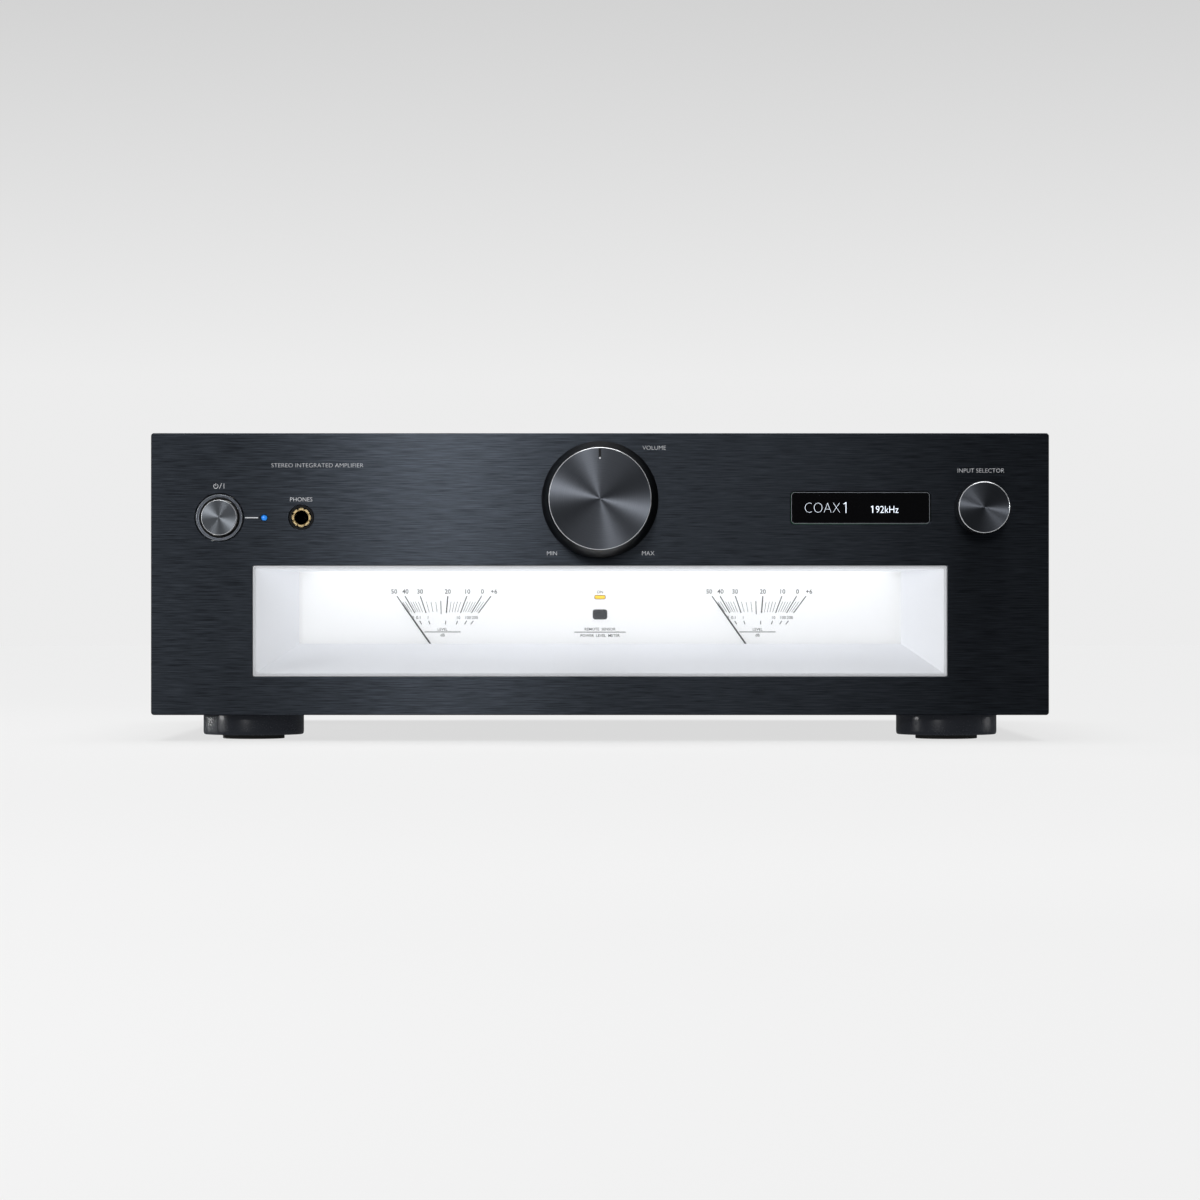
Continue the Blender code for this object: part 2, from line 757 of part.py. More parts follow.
def make_front_board():
    """Make the circuit board that the controls are soldered to."""
    low = (-0.205, BOARD_FRONT, 0.0895)
    high = (0.205, BOARD_FRONT + BOARD_THICKNESS, 0.1425)
    block("front_board", low, high, BOARD_GREEN)


# Case


def make_top_cover():
    """Fold the top cover and cut its air slots."""
    front = SUBFRAME_FRONT - 0.0001
    back = REAR_BACK + 0.0005
    bottom = FOOT_CLEARANCE + 0.0025
    half = COVER_HALF_WIDTH
    low = (-half, front, bottom)
    high = (half, back, COVER_TOP)
    cover = block("top_cover", low, high, BLACK_PAINT)
    inner_low = (-half + SHEET, front - 0.01, bottom - 0.01)
    inner_high = (half - SHEET, back + 0.01, COVER_TOP - SHEET)
    cut(cover, block("cover_inside", inner_low, inner_high, None))
    slots = bmesh.new()
    slot_length = 0.052
    slot_width = 0.0032
    for row_y in (-0.040, 0.040, 0.120):
        for column in range(-6, 7):
            centre = Vector((column * 0.0130, row_y, COVER_TOP))
            made = bmesh.ops.create_cube(slots, size=1.0)
            bmesh.ops.scale(slots, vec=(slot_width, slot_length, 0.01), verts=made["verts"])
            bmesh.ops.translate(slots, vec=centre, verts=made["verts"])
    cut(cover, from_bmesh("air_slots", slots, None))


def make_chassis_base():
    """Fold the base tray."""
    half = 0.2112
    front = SUBFRAME_FRONT
    back = REAR_FRONT - GAP
    wall = 0.0010
    low = (-half, front, BASE_BOTTOM)
    high = (half, back, BASE_BOTTOM + 0.0115)
    base = block("chassis_base", low, high, BARE_STEEL)
    inner_low = (-half + wall, front + wall, BASE_BOTTOM + wall)
    inner_high = (half - wall, back - wall, BASE_BOTTOM + 0.03)
    cut(base, block("base_inside", inner_low, inner_high, None))


def rca_places():
    """List the analogue jacks' places, two rows of columns."""
    places = []
    for column in range(RCA_COLUMNS):
        x = RCA_CENTRE[0] + (column - (RCA_COLUMNS - 1) / 2) * RCA_PITCH_X
        for row in (-0.5, 0.5):
            places.append((x, RCA_CENTRE[1] + row * RCA_PITCH_Z))
    return places


def make_rear_panel():
    """Cut the rear panel with an opening for each connector."""
    inlet_size = [2 * (half + GAP) for half in INLET_BODY_HALF]
    outlines = [
        rectangle((-0.2118, 0.0150), (0.2118, COVER_TOP - SHEET - GAP)),
        rounded_rectangle(INLET_PLACE, inlet_size, 0.0003, 1),
        rounded_rectangle(USB_PLACE, (0.0126, 0.0116), 0.0004, 1),
        rounded_rectangle(OPTICAL_PLACE, (0.0126, 0.0126), 0.0004, 1),
        circle(COAX_PLACE, RCA_RADIUS + GAP, 12),
    ]
    outlines += [circle(place, RCA_RADIUS + GAP, 12) for place in rca_places()]
    outlines += [circle((x, POST_Z), 0.0045, 12) for x in POST_X]
    flat_part("rear_panel", outlines, REAR_FRONT, SHEET, BLACK_PAINT)


def make_feet():
    """Turn the four feet and their pads."""
    top = FOOT_CLEARANCE
    corner = 0.0018
    recess = PAD_HEIGHT + GAP
    foot = [
        (0.0, top),
        (FOOT_RADIUS, top),
        (FOOT_RADIUS, FOOT_BOTTOM + corner),
    ]
    bends = 3
    for step in range(1, bends + 1):
        angle = step / bends * math.pi / 2
        radius = FOOT_RADIUS - corner + corner * math.cos(angle)
        foot.append((radius, FOOT_BOTTOM + corner - corner * math.sin(angle)))
    foot += [
        (PAD_RADIUS + GAP, FOOT_BOTTOM),
        (PAD_RADIUS + GAP, recess),
        (0.0, recess),
    ]
    pad = [
        (0.0, PAD_HEIGHT),
        (PAD_RADIUS, PAD_HEIGHT),
        (PAD_RADIUS, 0.0004),
        (PAD_RADIUS - 0.0004, 0.0),
        (0.0, 0.0),
    ]
    for end, across, y in (("front", FRONT_FOOT_X, -FOOT_Y), ("rear", REAR_FOOT_X, FOOT_Y)):
        for side, sign in (("left", -1), ("right", 1)):
            at = (sign * across, y, 0)
            turned(f"foot_{end}_{side}", foot, at, UPRIGHT, FOOT_PLASTIC, steps=24)
            turned(f"foot_pad_{end}_{side}", pad, at, UPRIGHT, RUBBER, steps=20)


# Inside


def board_on_legs(name, low, high, leg_height):
    """Make a flat circuit board with a leg near each corner."""
    board = block(name, low, high, BOARD_GREEN)
    inset = 0.006
    leg_radius = 0.003
    leg_overlap = 0.0008
    leg_steps = 12
    for side, x in (("left", low[0] + inset), ("right", high[0] - inset)):
        for end, y in (("front", low[1] + inset), ("rear", high[1] - inset)):
            place = (x, y, low[2] - leg_height)
            leg_name = f"{name}_leg_{end}_{side}"
            length = leg_height + leg_overlap
            join(board, drum(leg_name, leg_radius, length, place, UPRIGHT, None, leg_steps))
    return board


def make_transformer():
    """Turn the toroidal transformer and the bolt and dished washer that hold it."""
    floor = BASE_BOTTOM + 0.0010 + GAP
    outer = 0.060
    inner = 0.016
    height = 0.056
    corner = 0.012
    profile = []
    corners = (
        (outer - corner, floor + height - corner, 90),
        (outer - corner, floor + corner, 0),
        (inner + corner, floor + corner, -90),
        (inner + corner, floor + height - corner, -180),
    )
    for centre_r, centre_z, start in corners:
        for step in range(4):
            angle = math.radians(start - step * 90 / 3)
            profile.append(
                (centre_r + corner * math.cos(angle), centre_z + corner * math.sin(angle))
            )
    place = (-0.120, -0.070, 0.0)
    turned("toroidal_transformer", profile, place, UPRIGHT, COPPER_BAND, closed=True, steps=24)
    top = floor + height + GAP
    bolt = [
        (0.0, top + 0.0085),
        (0.0060, top + 0.0085),
        (0.0060, top + 0.0030),
        (0.0280, top + 0.0020),
        (0.0300, top),
        (0.0100, top),
        (0.0100, top - 0.0060),
        (0.0040, top - 0.0060),
        (0.0040, floor),
        (0.0, floor),
    ]
    turned("transformer_clamp", bolt, place, UPRIGHT, BARE_STEEL, steps=20)


def make_power_supply():
    """Make the power supply board and its two reservoir capacitors."""
    low = (-0.200, 0.015, 0.0218)
    high = (-0.090, 0.130, 0.0234)
    board_on_legs("power_supply_board", low, high, low[2] - BASE_BOTTOM - 0.0010 - GAP)
    radius = 0.0175
    for side, x in (("left", -0.168), ("right", -0.124)):
        bottom = high[2] + GAP
        can = [
            (0.0, bottom + 0.0500),
            (radius - 0.0015, bottom + 0.0500),
            (radius, bottom + 0.0485),
            (radius, bottom + 0.0035),
            (radius - 0.0010, bottom + 0.0025),
            (radius, bottom + 0.0015),
            (radius, bottom),
            (0.0, bottom),
        ]
        name = f"reservoir_capacitor_{side}"
        turned(name, can, (x, 0.060, 0.0), UPRIGHT, CAPACITOR_SLEEVE, steps=20)


def make_heat_sink():
    """Extrude the finned heat sink; its fins run front to back."""
    floor = BASE_BOTTOM + 0.0010 + GAP
    half = 0.056
    base = 0.009
    fins = 12
    fin = 0.0024
    height = 0.078
    pitch = (2 * half - fin) / (fins - 1)
    outline = [(-half, floor)]
    for index in range(fins):
        left = -half + index * pitch
        right = left + fin
        if index > 0:
            outline.append((left, floor + base))
        outline.append((left, floor + height))
        outline.append((right, floor + height))
        if index < fins - 1:
            outline.append((right, floor + base))
    outline.append((half, floor))
    flat_part("heat_sink", [outline], -0.060, 0.160, SINK_ALUMINIUM)


def make_amplifier_board():
    """Make the amplifier board beside the heat sink."""
    low = (0.068, -0.060, 0.0218)
    high = (0.202, 0.100, 0.0234)
    board_on_legs("amplifier_board", low, high, low[2] - BASE_BOTTOM - 0.0010 - GAP)


def make_input_board():
    """Make the upright board behind the rear panel that carries the input jacks."""
    low = (0.004, 0.1650, 0.0900)
    high = (0.205, 0.1666, 0.1350)
    block("input_board", low, high, BOARD_GREEN)


def make_ribbon_cable():
    """Run the flat cable from the front board back to the input board."""
    start = BOARD_FRONT + BOARD_THICKNESS + GAP
    end = 0.1650 - GAP
    half_width = 0.017
    centre_x = 0.110
    height = 0.124
    sag = 0.012
    steps = 20
    work = bmesh.new()
    rows = []
    for i in range(steps + 1):
        part = i / steps
        y = start + (end - start) * part
        z = height - sag * math.sin(math.pi * part) ** 2
        rows.append(
            [work.verts.new((centre_x + side * half_width, y, z)) for side in (-1, 1)]
        )
    for row, following in zip(rows, rows[1:]):
        work.faces.new((row[0], row[1], following[1], following[0]))
    strip = smooth(from_bmesh("ribbon_cable", work, RIBBON_GREY))
    thick = strip.modifiers.new("thickness", "SOLIDIFY")
    thick.thickness = 0.0010
    thick.offset = 0.0


# Rear connectors


def make_analog_jacks():
    """Make the block of analogue input jacks."""
    half_x = RCA_PITCH_X * RCA_COLUMNS / 2
    half_z = RCA_PITCH_Z
    low = (RCA_CENTRE[0] - half_x, 0.1666 + GAP, RCA_CENTRE[1] - half_z)
    high = (RCA_CENTRE[0] + half_x, REAR_FRONT - GAP, RCA_CENTRE[1] + half_z)
    body = block("analog_input_jacks", low, high, BLACK_PLASTIC)
    for number, place in enumerate(rca_places(), start=1):
        add_rca(body, f"line_jack_{number:02d}", place)


def add_rca(body, label, place):
    """Add one round jack to a block: a barrel through the panel with a hole for the pin."""
    start = panel_point(place, REAR_FRONT - 0.003)
    end = REAR_BACK + 0.0090
    barrel = drum(f"{label}_barrel", RCA_RADIUS, end - start.y, start, REAR, None, 12)
    hole_start = panel_point(place, end - 0.0120)
    hole = drum(f"{label}_hole", 0.0017, 0.0140, hole_start, REAR, None, 8)
    join(body, barrel)
    cut(body, hole)


def make_digital_jacks():
    """Make the digital input block with its optical opening, and the spring shutter."""
    x, z = DIGITAL_CENTRE
    half_x = 0.0085
    low = (x - half_x, 0.1666 + GAP, z - 0.0190)
    high = (x + half_x, REAR_FRONT - GAP, z + 0.0190)
    body = block("digital_input_block", low, high, BLACK_PLASTIC)
    nose = 0.0060
    optical_x, optical_z = OPTICAL_PLACE
    nose_low = (optical_x - nose, REAR_FRONT - 0.003, optical_z - nose)
    nose_high = (optical_x + nose, REAR_BACK + 0.0020, optical_z + nose)
    join(body, block("optical_nose", nose_low, nose_high, None))
    half = OPTICAL_OPENING / 2
    well_low = (optical_x - half, REAR_BACK - 0.0145, optical_z - half)
    well_high = (optical_x + half, REAR_BACK + 0.005, optical_z + half)
    cut(body, block("optical_well", well_low, well_high, None))
    add_rca(body, "coax_jack", COAX_PLACE)
    side = half - 0.0004
    flap_top = optical_z + half - 0.0004
    flap_low = (optical_x - side, REAR_BACK + 0.0002, optical_z - half + 0.0004)
    flap_high = (optical_x + side, REAR_BACK + 0.0012, flap_top)
    flap = block("optical_shutter", flap_low, flap_high, BLACK_PLASTIC)
    flap.data.transform(Matrix.Translation((0, -REAR_BACK - 0.0007, -flap_top + 0.0005)))
    flap.location = (0, REAR_BACK + 0.0007, flap_top - 0.0005)


def make_usb_socket():
    """Make the square socket for a computer."""
    x, z = USB_PLACE
    low = (x - 0.0060, 0.1666 + GAP, z - 0.0055)
    high = (x + 0.0060, REAR_BACK + 0.0012, z + 0.0055)
    body = block("usb_socket", low, high, BARE_STEEL)
    well_low = (x - 0.0043, REAR_BACK - 0.0120, z - 0.0040)
    well_high = (x + 0.0043, REAR_BACK + 0.0050, z + 0.0040)
    cut(body, block("usb_well", well_low, well_high, None))
    tongue_low = (x - 0.0028, REAR_BACK - 0.0130, z - 0.0016)
    tongue_high = (x + 0.0028, REAR_BACK - 0.0040, z + 0.0016)
    join(body, block("usb_tongue", tongue_low, tongue_high, None))


def make_speaker_terminals():
    """Make the terminal board with its fixed posts, and the turning caps."""
    front = REAR_BACK + GAP
    low = (POST_X[0] - 0.018, front, POST_Z - 0.017)
    high = (POST_X[-1] + 0.018, TERMINAL_BOARD_BACK, POST_Z + 0.017)
    board = block("speaker_terminal_board", low, high, BLACK_PLASTIC)
    post_start = REAR_FRONT - 0.012
    post_end = TERMINAL_END - 0.0040
    for number, x in enumerate(POST_X, start=1):
        start = (x, post_start, POST_Z)
        post = drum(
            f"post_{number}", 0.0030, post_end - post_start, start, REAR, None, 12
        )
        join(board, post)
        cap_low = TERMINAL_BOARD_BACK + 0.0030
        cap = [
            (0.0, TERMINAL_END),
            (POST_RADIUS - 0.0012, TERMINAL_END),
            (POST_RADIUS, TERMINAL_END - 0.0012),
            (POST_RADIUS, cap_low + 0.0030),
            (POST_RADIUS - 0.0010, cap_low + 0.0025),
            (POST_RADIUS - 0.0010, cap_low),
            (0.0034, cap_low),
            (0.0034, post_end + GAP),
            (0.0, post_end + GAP),
        ]
        turned(f"speaker_post_cap_{number}", cap, (x, 0, POST_Z), REAR, BLACK_PLASTIC, steps=18)


def make_mains_inlet():
    """Make the mains inlet: a flanged shell with three blades in its well."""
    x, z = INLET_PLACE
    body_half = INLET_BODY_HALF
    well_half = (0.0123, 0.00835)
    well_depth = 0.0155
    blade_recess = 0.0055
    blade_half = (0.001, 0.002)
    flange_back = REAR_BACK + GAP + 0.0026
    low = (x - body_half[0], REAR_FRONT - 0.0180, z - body_half[1])
    high = (x + body_half[0], flange_back - 0.001, z + body_half[1])
    body = block("mains_inlet", low, high, BLACK_PLASTIC)
    flange_outline = [rounded_rectangle(INLET_PLACE, (0.0480, 0.0260), 0.0040, 4)]
    flange = flat_part("inlet_flange", flange_outline, REAR_BACK + GAP, 0.0026, None)
    join(body, flange)
    well_low = (x - well_half[0], flange_back - well_depth, z - well_half[1])
    well_high = (x + well_half[0], flange_back + 0.005, z + well_half[1])
    cut(body, block("inlet_well", well_low, well_high, None))
    for number, (dx, dz) in enumerate(((-0.007, -0.002), (0.0, 0.002), (0.007, -0.002))):
        start = flange_back - well_depth - 0.001
        end = flange_back - blade_recess
        blade_low = (x + dx - blade_half[0], start, z + dz - blade_half[1])
        blade_high = (x + dx + blade_half[0], end, z + dz + blade_half[1])
        join(body, block(f"inlet_blade_{number}", blade_low, blade_high, None))


def main():
    """Make every part of the amplifier."""
    make_front_panel()
    make_subframe()
    make_meter_recess()
    make_meter("left", -1)
    make_meter("right", 1)
    make_display()
    make_volume()
    make_input_selector()
    make_power_button()
    make_standby_lamp()
    make_phones_jack()
    make_front_board()
    make_top_cover()
    make_chassis_base()
    make_rear_panel()
    make_feet()
    make_transformer()
    make_power_supply()
    make_heat_sink()
    make_amplifier_board()
    make_input_board()
    make_ribbon_cable()
    make_analog_jacks()
    make_digital_jacks()
    make_usb_socket()
    make_speaker_terminals()
    make_mains_inlet()
    bpy.context.view_layer.update()


main()
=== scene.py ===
"""Dress an integrated amplifier: fine surfaces, finishes, printed legends and a small studio.

Metres, +Z up. The amplifier's front faces -Y and the listener's right is +X. Each sub-assembly
is a class that takes its places from the frame and holds the sizes of its own detail.
"""

import json
import logging
import math
from dataclasses import dataclass
from enum import Enum
from typing import Iterable, Sequence

import bmesh
import bpy
from mathutils import Matrix, Vector

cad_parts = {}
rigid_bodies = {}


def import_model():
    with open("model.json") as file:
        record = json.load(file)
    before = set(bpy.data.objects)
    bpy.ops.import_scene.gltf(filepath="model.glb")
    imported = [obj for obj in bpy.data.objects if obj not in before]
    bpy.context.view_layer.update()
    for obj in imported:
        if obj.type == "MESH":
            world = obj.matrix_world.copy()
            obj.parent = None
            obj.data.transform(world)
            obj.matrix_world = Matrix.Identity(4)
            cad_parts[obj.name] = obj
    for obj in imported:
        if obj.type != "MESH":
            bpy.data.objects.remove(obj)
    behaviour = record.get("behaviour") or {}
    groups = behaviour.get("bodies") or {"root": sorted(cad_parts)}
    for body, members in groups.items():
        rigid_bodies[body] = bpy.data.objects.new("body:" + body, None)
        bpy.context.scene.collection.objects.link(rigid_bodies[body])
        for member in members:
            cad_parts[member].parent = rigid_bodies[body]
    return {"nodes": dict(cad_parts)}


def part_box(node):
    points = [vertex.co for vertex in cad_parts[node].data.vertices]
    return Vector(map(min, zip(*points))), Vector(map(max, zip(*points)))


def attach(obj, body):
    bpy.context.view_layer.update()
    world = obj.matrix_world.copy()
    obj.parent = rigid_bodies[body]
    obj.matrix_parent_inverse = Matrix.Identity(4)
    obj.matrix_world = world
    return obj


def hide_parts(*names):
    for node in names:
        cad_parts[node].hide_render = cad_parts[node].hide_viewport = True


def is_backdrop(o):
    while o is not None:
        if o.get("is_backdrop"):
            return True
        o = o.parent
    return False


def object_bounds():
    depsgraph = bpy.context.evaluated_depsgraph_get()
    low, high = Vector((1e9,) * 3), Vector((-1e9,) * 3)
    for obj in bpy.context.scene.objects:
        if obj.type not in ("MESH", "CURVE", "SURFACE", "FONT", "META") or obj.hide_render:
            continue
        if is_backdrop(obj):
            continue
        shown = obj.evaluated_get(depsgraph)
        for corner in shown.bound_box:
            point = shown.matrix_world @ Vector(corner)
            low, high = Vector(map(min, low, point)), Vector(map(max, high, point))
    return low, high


LOG = logging.getLogger("amplifier")
Point = tuple[float, float]
Colour = tuple[float, float, float]
Profile = Sequence[tuple[float, ...]]

# The part of its range that a noise pattern mostly fills
NOISE_RANGE = (0.3, 0.7)
# A quarter turn, as the shader counts it
ACROSS = 0.25
# Points nearer to each other than this become one
WELD = 0.000001
# A capital's height as a share of the lettering's size
CAPITAL_HEIGHT = 0.69
# Edges that bend more than these angles, in degrees, stay sharp
SHARP_TURNED = 32.0
SHARP_SHEET = 20.0
SHARP_CUT = 28.0
# Steps round the large turned pieces
KNOB_STEPS = 160
BUTTON_STEPS = 144
JACK_STEPS = 128
# The way out of the rear panel
OUTWARD = Vector((0, 1, 0))


class Facing(Enum):
    """The way that a turned or lettered piece looks out of the object."""

    FRONT = "front"
    REAR = "rear"
    UP = "up"

    @property
    def turn(self) -> Matrix:
        """Give the rotation that takes a turned piece's own +Z to this side."""
        if self is Facing.FRONT:
            return Matrix.Rotation(math.radians(90), 4, "X")
        if self is Facing.REAR:
            return Matrix.Rotation(math.radians(-90), 4, "X")
        return Matrix.Identity(4)

    @property
    def lettering(self) -> Matrix:
        """Give the rotation that stands lettering upright on this side."""
        upright = Matrix.Rotation(math.radians(90), 4, "X")
        if self is Facing.REAR:
            return Matrix.Rotation(math.radians(180), 4, "Z") @ upright
        return upright if self is Facing.FRONT else Matrix.Identity(4)


class Align(Enum):
    """How a line of lettering sits on its place."""

    LEFT = "LEFT"
    CENTRE = "CENTER"


@dataclass(frozen=True)
class Span:
    """The box that a node fills."""

    low: Vector
    high: Vector

    @staticmethod
    def of(node: str) -> "Span":
        """Read a node's box from the frame."""
        low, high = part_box(node)
        return Span(low, high)

    @property
    def centre(self) -> Vector:
        """Give the middle of the box."""
        return (self.low + self.high) / 2

    @property
    def size(self) -> Vector:
        """Give the box's lengths."""
        return self.high - self.low

    @property
    def place(self) -> Point:
        """Give the middle as a place across and a height."""
        return (self.centre.x, self.centre.z)


# Finishes


class Graph:
    """A node material while it is being wired."""

    def __init__(self, name: str) -> None:
        """Start a material that has only its shader."""
        self.material = bpy.data.materials.new(name)
        self.material.use_nodes = True
        self.tree = self.material.node_tree
        self.shader = self.tree.nodes["Principled BSDF"]

    def node(self, kind: str, **settings: object) -> bpy.types.Node:
        """Add a node and set its properties."""
        made = self.tree.nodes.new(kind)
        for key, value in settings.items():
            setattr(made, key, value)
        return made

    def put(self, socket: bpy.types.NodeSocket, value: object) -> None:
        """Link a socket to another one, or set it to a plain value.

        Args:
            socket: The input to fill.
            value: An output socket, a number or a tuple.
        """
        if isinstance(value, bpy.types.NodeSocket):
            self.tree.links.new(value, socket)
        else:
            socket.default_value = value

    def place(self, scale: Sequence[float], centre: Sequence[float] = (0, 0, 0)) -> object:
        """Give the surface's own coordinates about a centre, stretched by a scale.

        Args:
            scale: The factor on each axis.
            centre: The point that becomes the origin, in metres.

        Returns:
            The vector output.
        """
        source = self.node("ShaderNodeTexCoord").outputs["Object"]
        shift = self.node("ShaderNodeVectorMath", operation="SUBTRACT")
        self.put(shift.inputs[0], source)
        self.put(shift.inputs[1], tuple(centre))
        stretch = self.node("ShaderNodeVectorMath", operation="MULTIPLY")
        self.put(stretch.inputs[0], shift.outputs[0])
        self.put(stretch.inputs[1], tuple(scale))
        return stretch.outputs[0]

    def noise(self, vector: object, scale: float, detail: float = 3.0, rough: float = 0.5) -> object:
        """Add a noise pattern and give its value."""
        made = self.node("ShaderNodeTexNoise")
        self.put(made.inputs["Vector"], vector)
        self.put(made.inputs["Scale"], scale)
        self.put(made.inputs["Detail"], detail)
        self.put(made.inputs["Roughness"], rough)
        return made.outputs["Fac"]

    def sums(self, operation: str, first: object, second: object = 0.0) -> object:
        """Add a math node and give its value."""
        made = self.node("ShaderNodeMath", operation=operation)
        self.put(made.inputs[0], first)
        self.put(made.inputs[1], second)
        return made.outputs[0]

    def spread(self, value: object, low: float, high: float, start: float = 0.0, end: float = 1.0) -> object:
        """Map a value from one range to another, clamped."""
        made = self.node("ShaderNodeMapRange")
        for key, number in (("From Min", start), ("From Max", end), ("To Min", low), ("To Max", high)):
            self.put(made.inputs[key], number)
        self.put(made.inputs["Value"], value)
        return made.outputs["Result"]

    def blend(self, factor: object, first: Colour, second: Colour) -> object:
        """Mix two colours by a factor and give the colour."""
        made = self.node("ShaderNodeMix", data_type="RGBA")
        self.put(made.inputs["Factor"], factor)
        self.put(made.inputs["A"], (*first, 1.0))
        self.put(made.inputs["B"], (*second, 1.0))
        return made.outputs["Result"]

    def merge(self, first: object, second: object, share: float) -> object:
        """Add two patterns, the first by its share and the second by the rest."""
        parts = (self.sums("MULTIPLY", first, share), self.sums("MULTIPLY", second, 1 - share))
        return self.sums("ADD", *parts)

    def stretch_highlight(self, anisotropy: float, axis: str) -> None:
        """Stretch the highlight across tool lines that run about an axis."""
        inputs = self.shader.inputs
        inputs["Anisotropic"].default_value = anisotropy
        inputs["Anisotropic Rotation"].default_value = ACROSS
        tangent = self.node("ShaderNodeTangent", direction_type="RADIAL", axis=axis)
        self.put(inputs["Tangent"], tangent.outputs[0])

    def emboss(self, height: object, strength: float, distance: float) -> None:
        """Raise the surface by a height pattern."""
        made = self.node("ShaderNodeBump")
        self.put(made.inputs["Strength"], strength)
        self.put(made.inputs["Distance"], distance)
        self.put(made.inputs["Height"], height)
        self.put(self.shader.inputs["Normal"], made.outputs["Normal"])


def shade(colour: Colour, factor: float) -> Colour:
    """Darken or lighten a colour."""
    return tuple(min(1.0, channel * factor) for channel in colour)


@dataclass(frozen=True)
class Finish:
    """A moulded or painted finish, and the base of the others.

    Its grain is a fine noise that varies the colour, the roughness and the height a little.
    """

    name: str
    colour: Colour
    roughness: float = 0.5
    metallic: float = 0.0
    grain: float = 1500.0
    contrast: float = 0.12
    depth: float = 0.00002
    coat: float = 0.0
    specular: float = 0.5

    def material(self) -> bpy.types.Material:
        """Make the finish's material once, and give it each time."""
        label = f"finish_{self.name}"
        found = bpy.data.materials.get(label)
        if found:
            return found
        graph = Graph(label)
        inputs = graph.shader.inputs
        inputs["Base Color"].default_value = (*self.colour, 1.0)
        inputs["Roughness"].default_value = self.roughness
        inputs["Metallic"].default_value = self.metallic
        inputs["Coat Weight"].default_value = self.coat
        inputs["Specular IOR Level"].default_value = self.specular
        self.pattern(graph)
        return graph.material

    def pattern(self, graph: Graph) -> None:
        """Wire the finish's own pattern.

        Args:
            graph: The material under way.
        """
        fine = graph.noise(graph.place((1, 1, 1)), self.grain, 4.0, 0.6)
        broad = graph.noise(graph.place((1, 1, 1)), self.grain / 40, 2.0)
        mixed = graph.merge(fine, broad, 0.6)
        self.vary_colour(graph, mixed)
        self.vary_roughness(graph, mixed, 0.1)
        graph.emboss(fine, 0.35, self.depth)

    def vary_colour(self, graph: Graph, pattern: object) -> None:
        """Vary the colour by a pattern, as far as the contrast says."""
        low = shade(self.colour, 1 - self.contrast)
        high = shade(self.colour, 1 + self.contrast)
        tint = graph.blend(graph.spread(pattern, 0, 1, *NOISE_RANGE), low, high)
        graph.put(graph.shader.inputs["Base Color"], tint)

    def vary_roughness(self, graph: Graph, pattern: object, share: float) -> None:
        """Vary the roughness by a pattern, by a share of it each way."""
        low = self.roughness * (1 - share)
        high = min(1.0, self.roughness * (1 + share))
        graph.put(graph.shader.inputs["Roughness"], graph.spread(pattern, low, high, *NOISE_RANGE))


@dataclass(frozen=True)
class BrushedMetal(Finish):
    """Metal brushed in straight lines along X."""

    line_length: float = 0.014
    line_pitch: float = 0.00046
    anisotropy: float = 0.92

    def pattern(self, graph: Graph) -> None:
        """Draw long fine lines and stretch the highlight across them."""
        fine = graph.place((1 / self.line_length, 1 / self.line_pitch, 1 / self.line_pitch))
        lines = graph.noise(fine, 1.0, 3.0, 0.6)
        long = graph.place((0.3 / self.line_length, 0.9 / self.line_pitch, 0.9 / self.line_pitch))
        bands = graph.noise(long, 1.0, 2.0, 0.5)
        mixed = graph.merge(lines, bands, 0.85)
        self.vary_colour(graph, mixed)
        self.vary_roughness(graph, mixed, 0.08)
        graph.stretch_highlight(self.anisotropy, "Z")
        graph.emboss(lines, 0.05, self.depth)


@dataclass(frozen=True)
class SpunMetal(Finish):
    """Metal turned on a lathe, with fine rings about an axis that runs front to back."""

    centre: Point = (0.0, 0.0)
    ring_pitch: float = 0.00025
    anisotropy: float = 0.9

    def pattern(self, graph: Graph) -> None:
        """Draw fine rings and stretch the highlight across them."""
        about = graph.place((1, 0, 1), (self.centre[0], 0.0, self.centre[1]))
        radius = graph.node("ShaderNodeVectorMath", operation="LENGTH")
        graph.put(radius.inputs[0], about)
        ring = graph.node("ShaderNodeTexNoise", noise_dimensions="1D")
        graph.put(ring.inputs["W"], radius.outputs["Value"])
        graph.put(ring.inputs["Scale"], 1 / self.ring_pitch)
        graph.put(ring.inputs["Detail"], 3.0)
        rings = ring.outputs["Fac"]
        self.vary_colour(graph, rings)
        graph.stretch_highlight(self.anisotropy, "Y")
        graph.emboss(rings, 0.10, self.depth)


@dataclass(frozen=True)
class PlatedSheet(Finish):
    """Zinc plated sheet with faint rolled streaks and cloudy patches."""

    def pattern(self, graph: Graph) -> None:
        """Draw the clouds and the streaks."""
        clouds = graph.noise(graph.place((1, 1, 1)), 60.0, 3.0)
        streaks = graph.noise(graph.place((30, 900, 30)), 1.0, 3.0)
        mixed = graph.merge(clouds, streaks, 0.6)
        tint = graph.blend(graph.spread(mixed, 0, 1, 0.35, 0.65), shade(self.colour, 0.85), self.colour)
        graph.put(graph.shader.inputs["Base Color"], tint)
        self.vary_roughness(graph, mixed, 0.2)
        graph.emboss(streaks, 0.1, self.depth)


@dataclass(frozen=True)
class ClearSheet(Finish):
    """Clear sheet that shows what is behind it, with a faint haze."""

    alpha: float = 0.06

    def pattern(self, graph: Graph) -> None:
        """Let most light through."""
        graph.shader.inputs["Alpha"].default_value = self.alpha
        haze = graph.noise(graph.place((1, 1, 1)), 25.0, 2.0)
        graph.put(graph.shader.inputs["Roughness"], graph.spread(haze, 0.02, 0.06, *NOISE_RANGE))


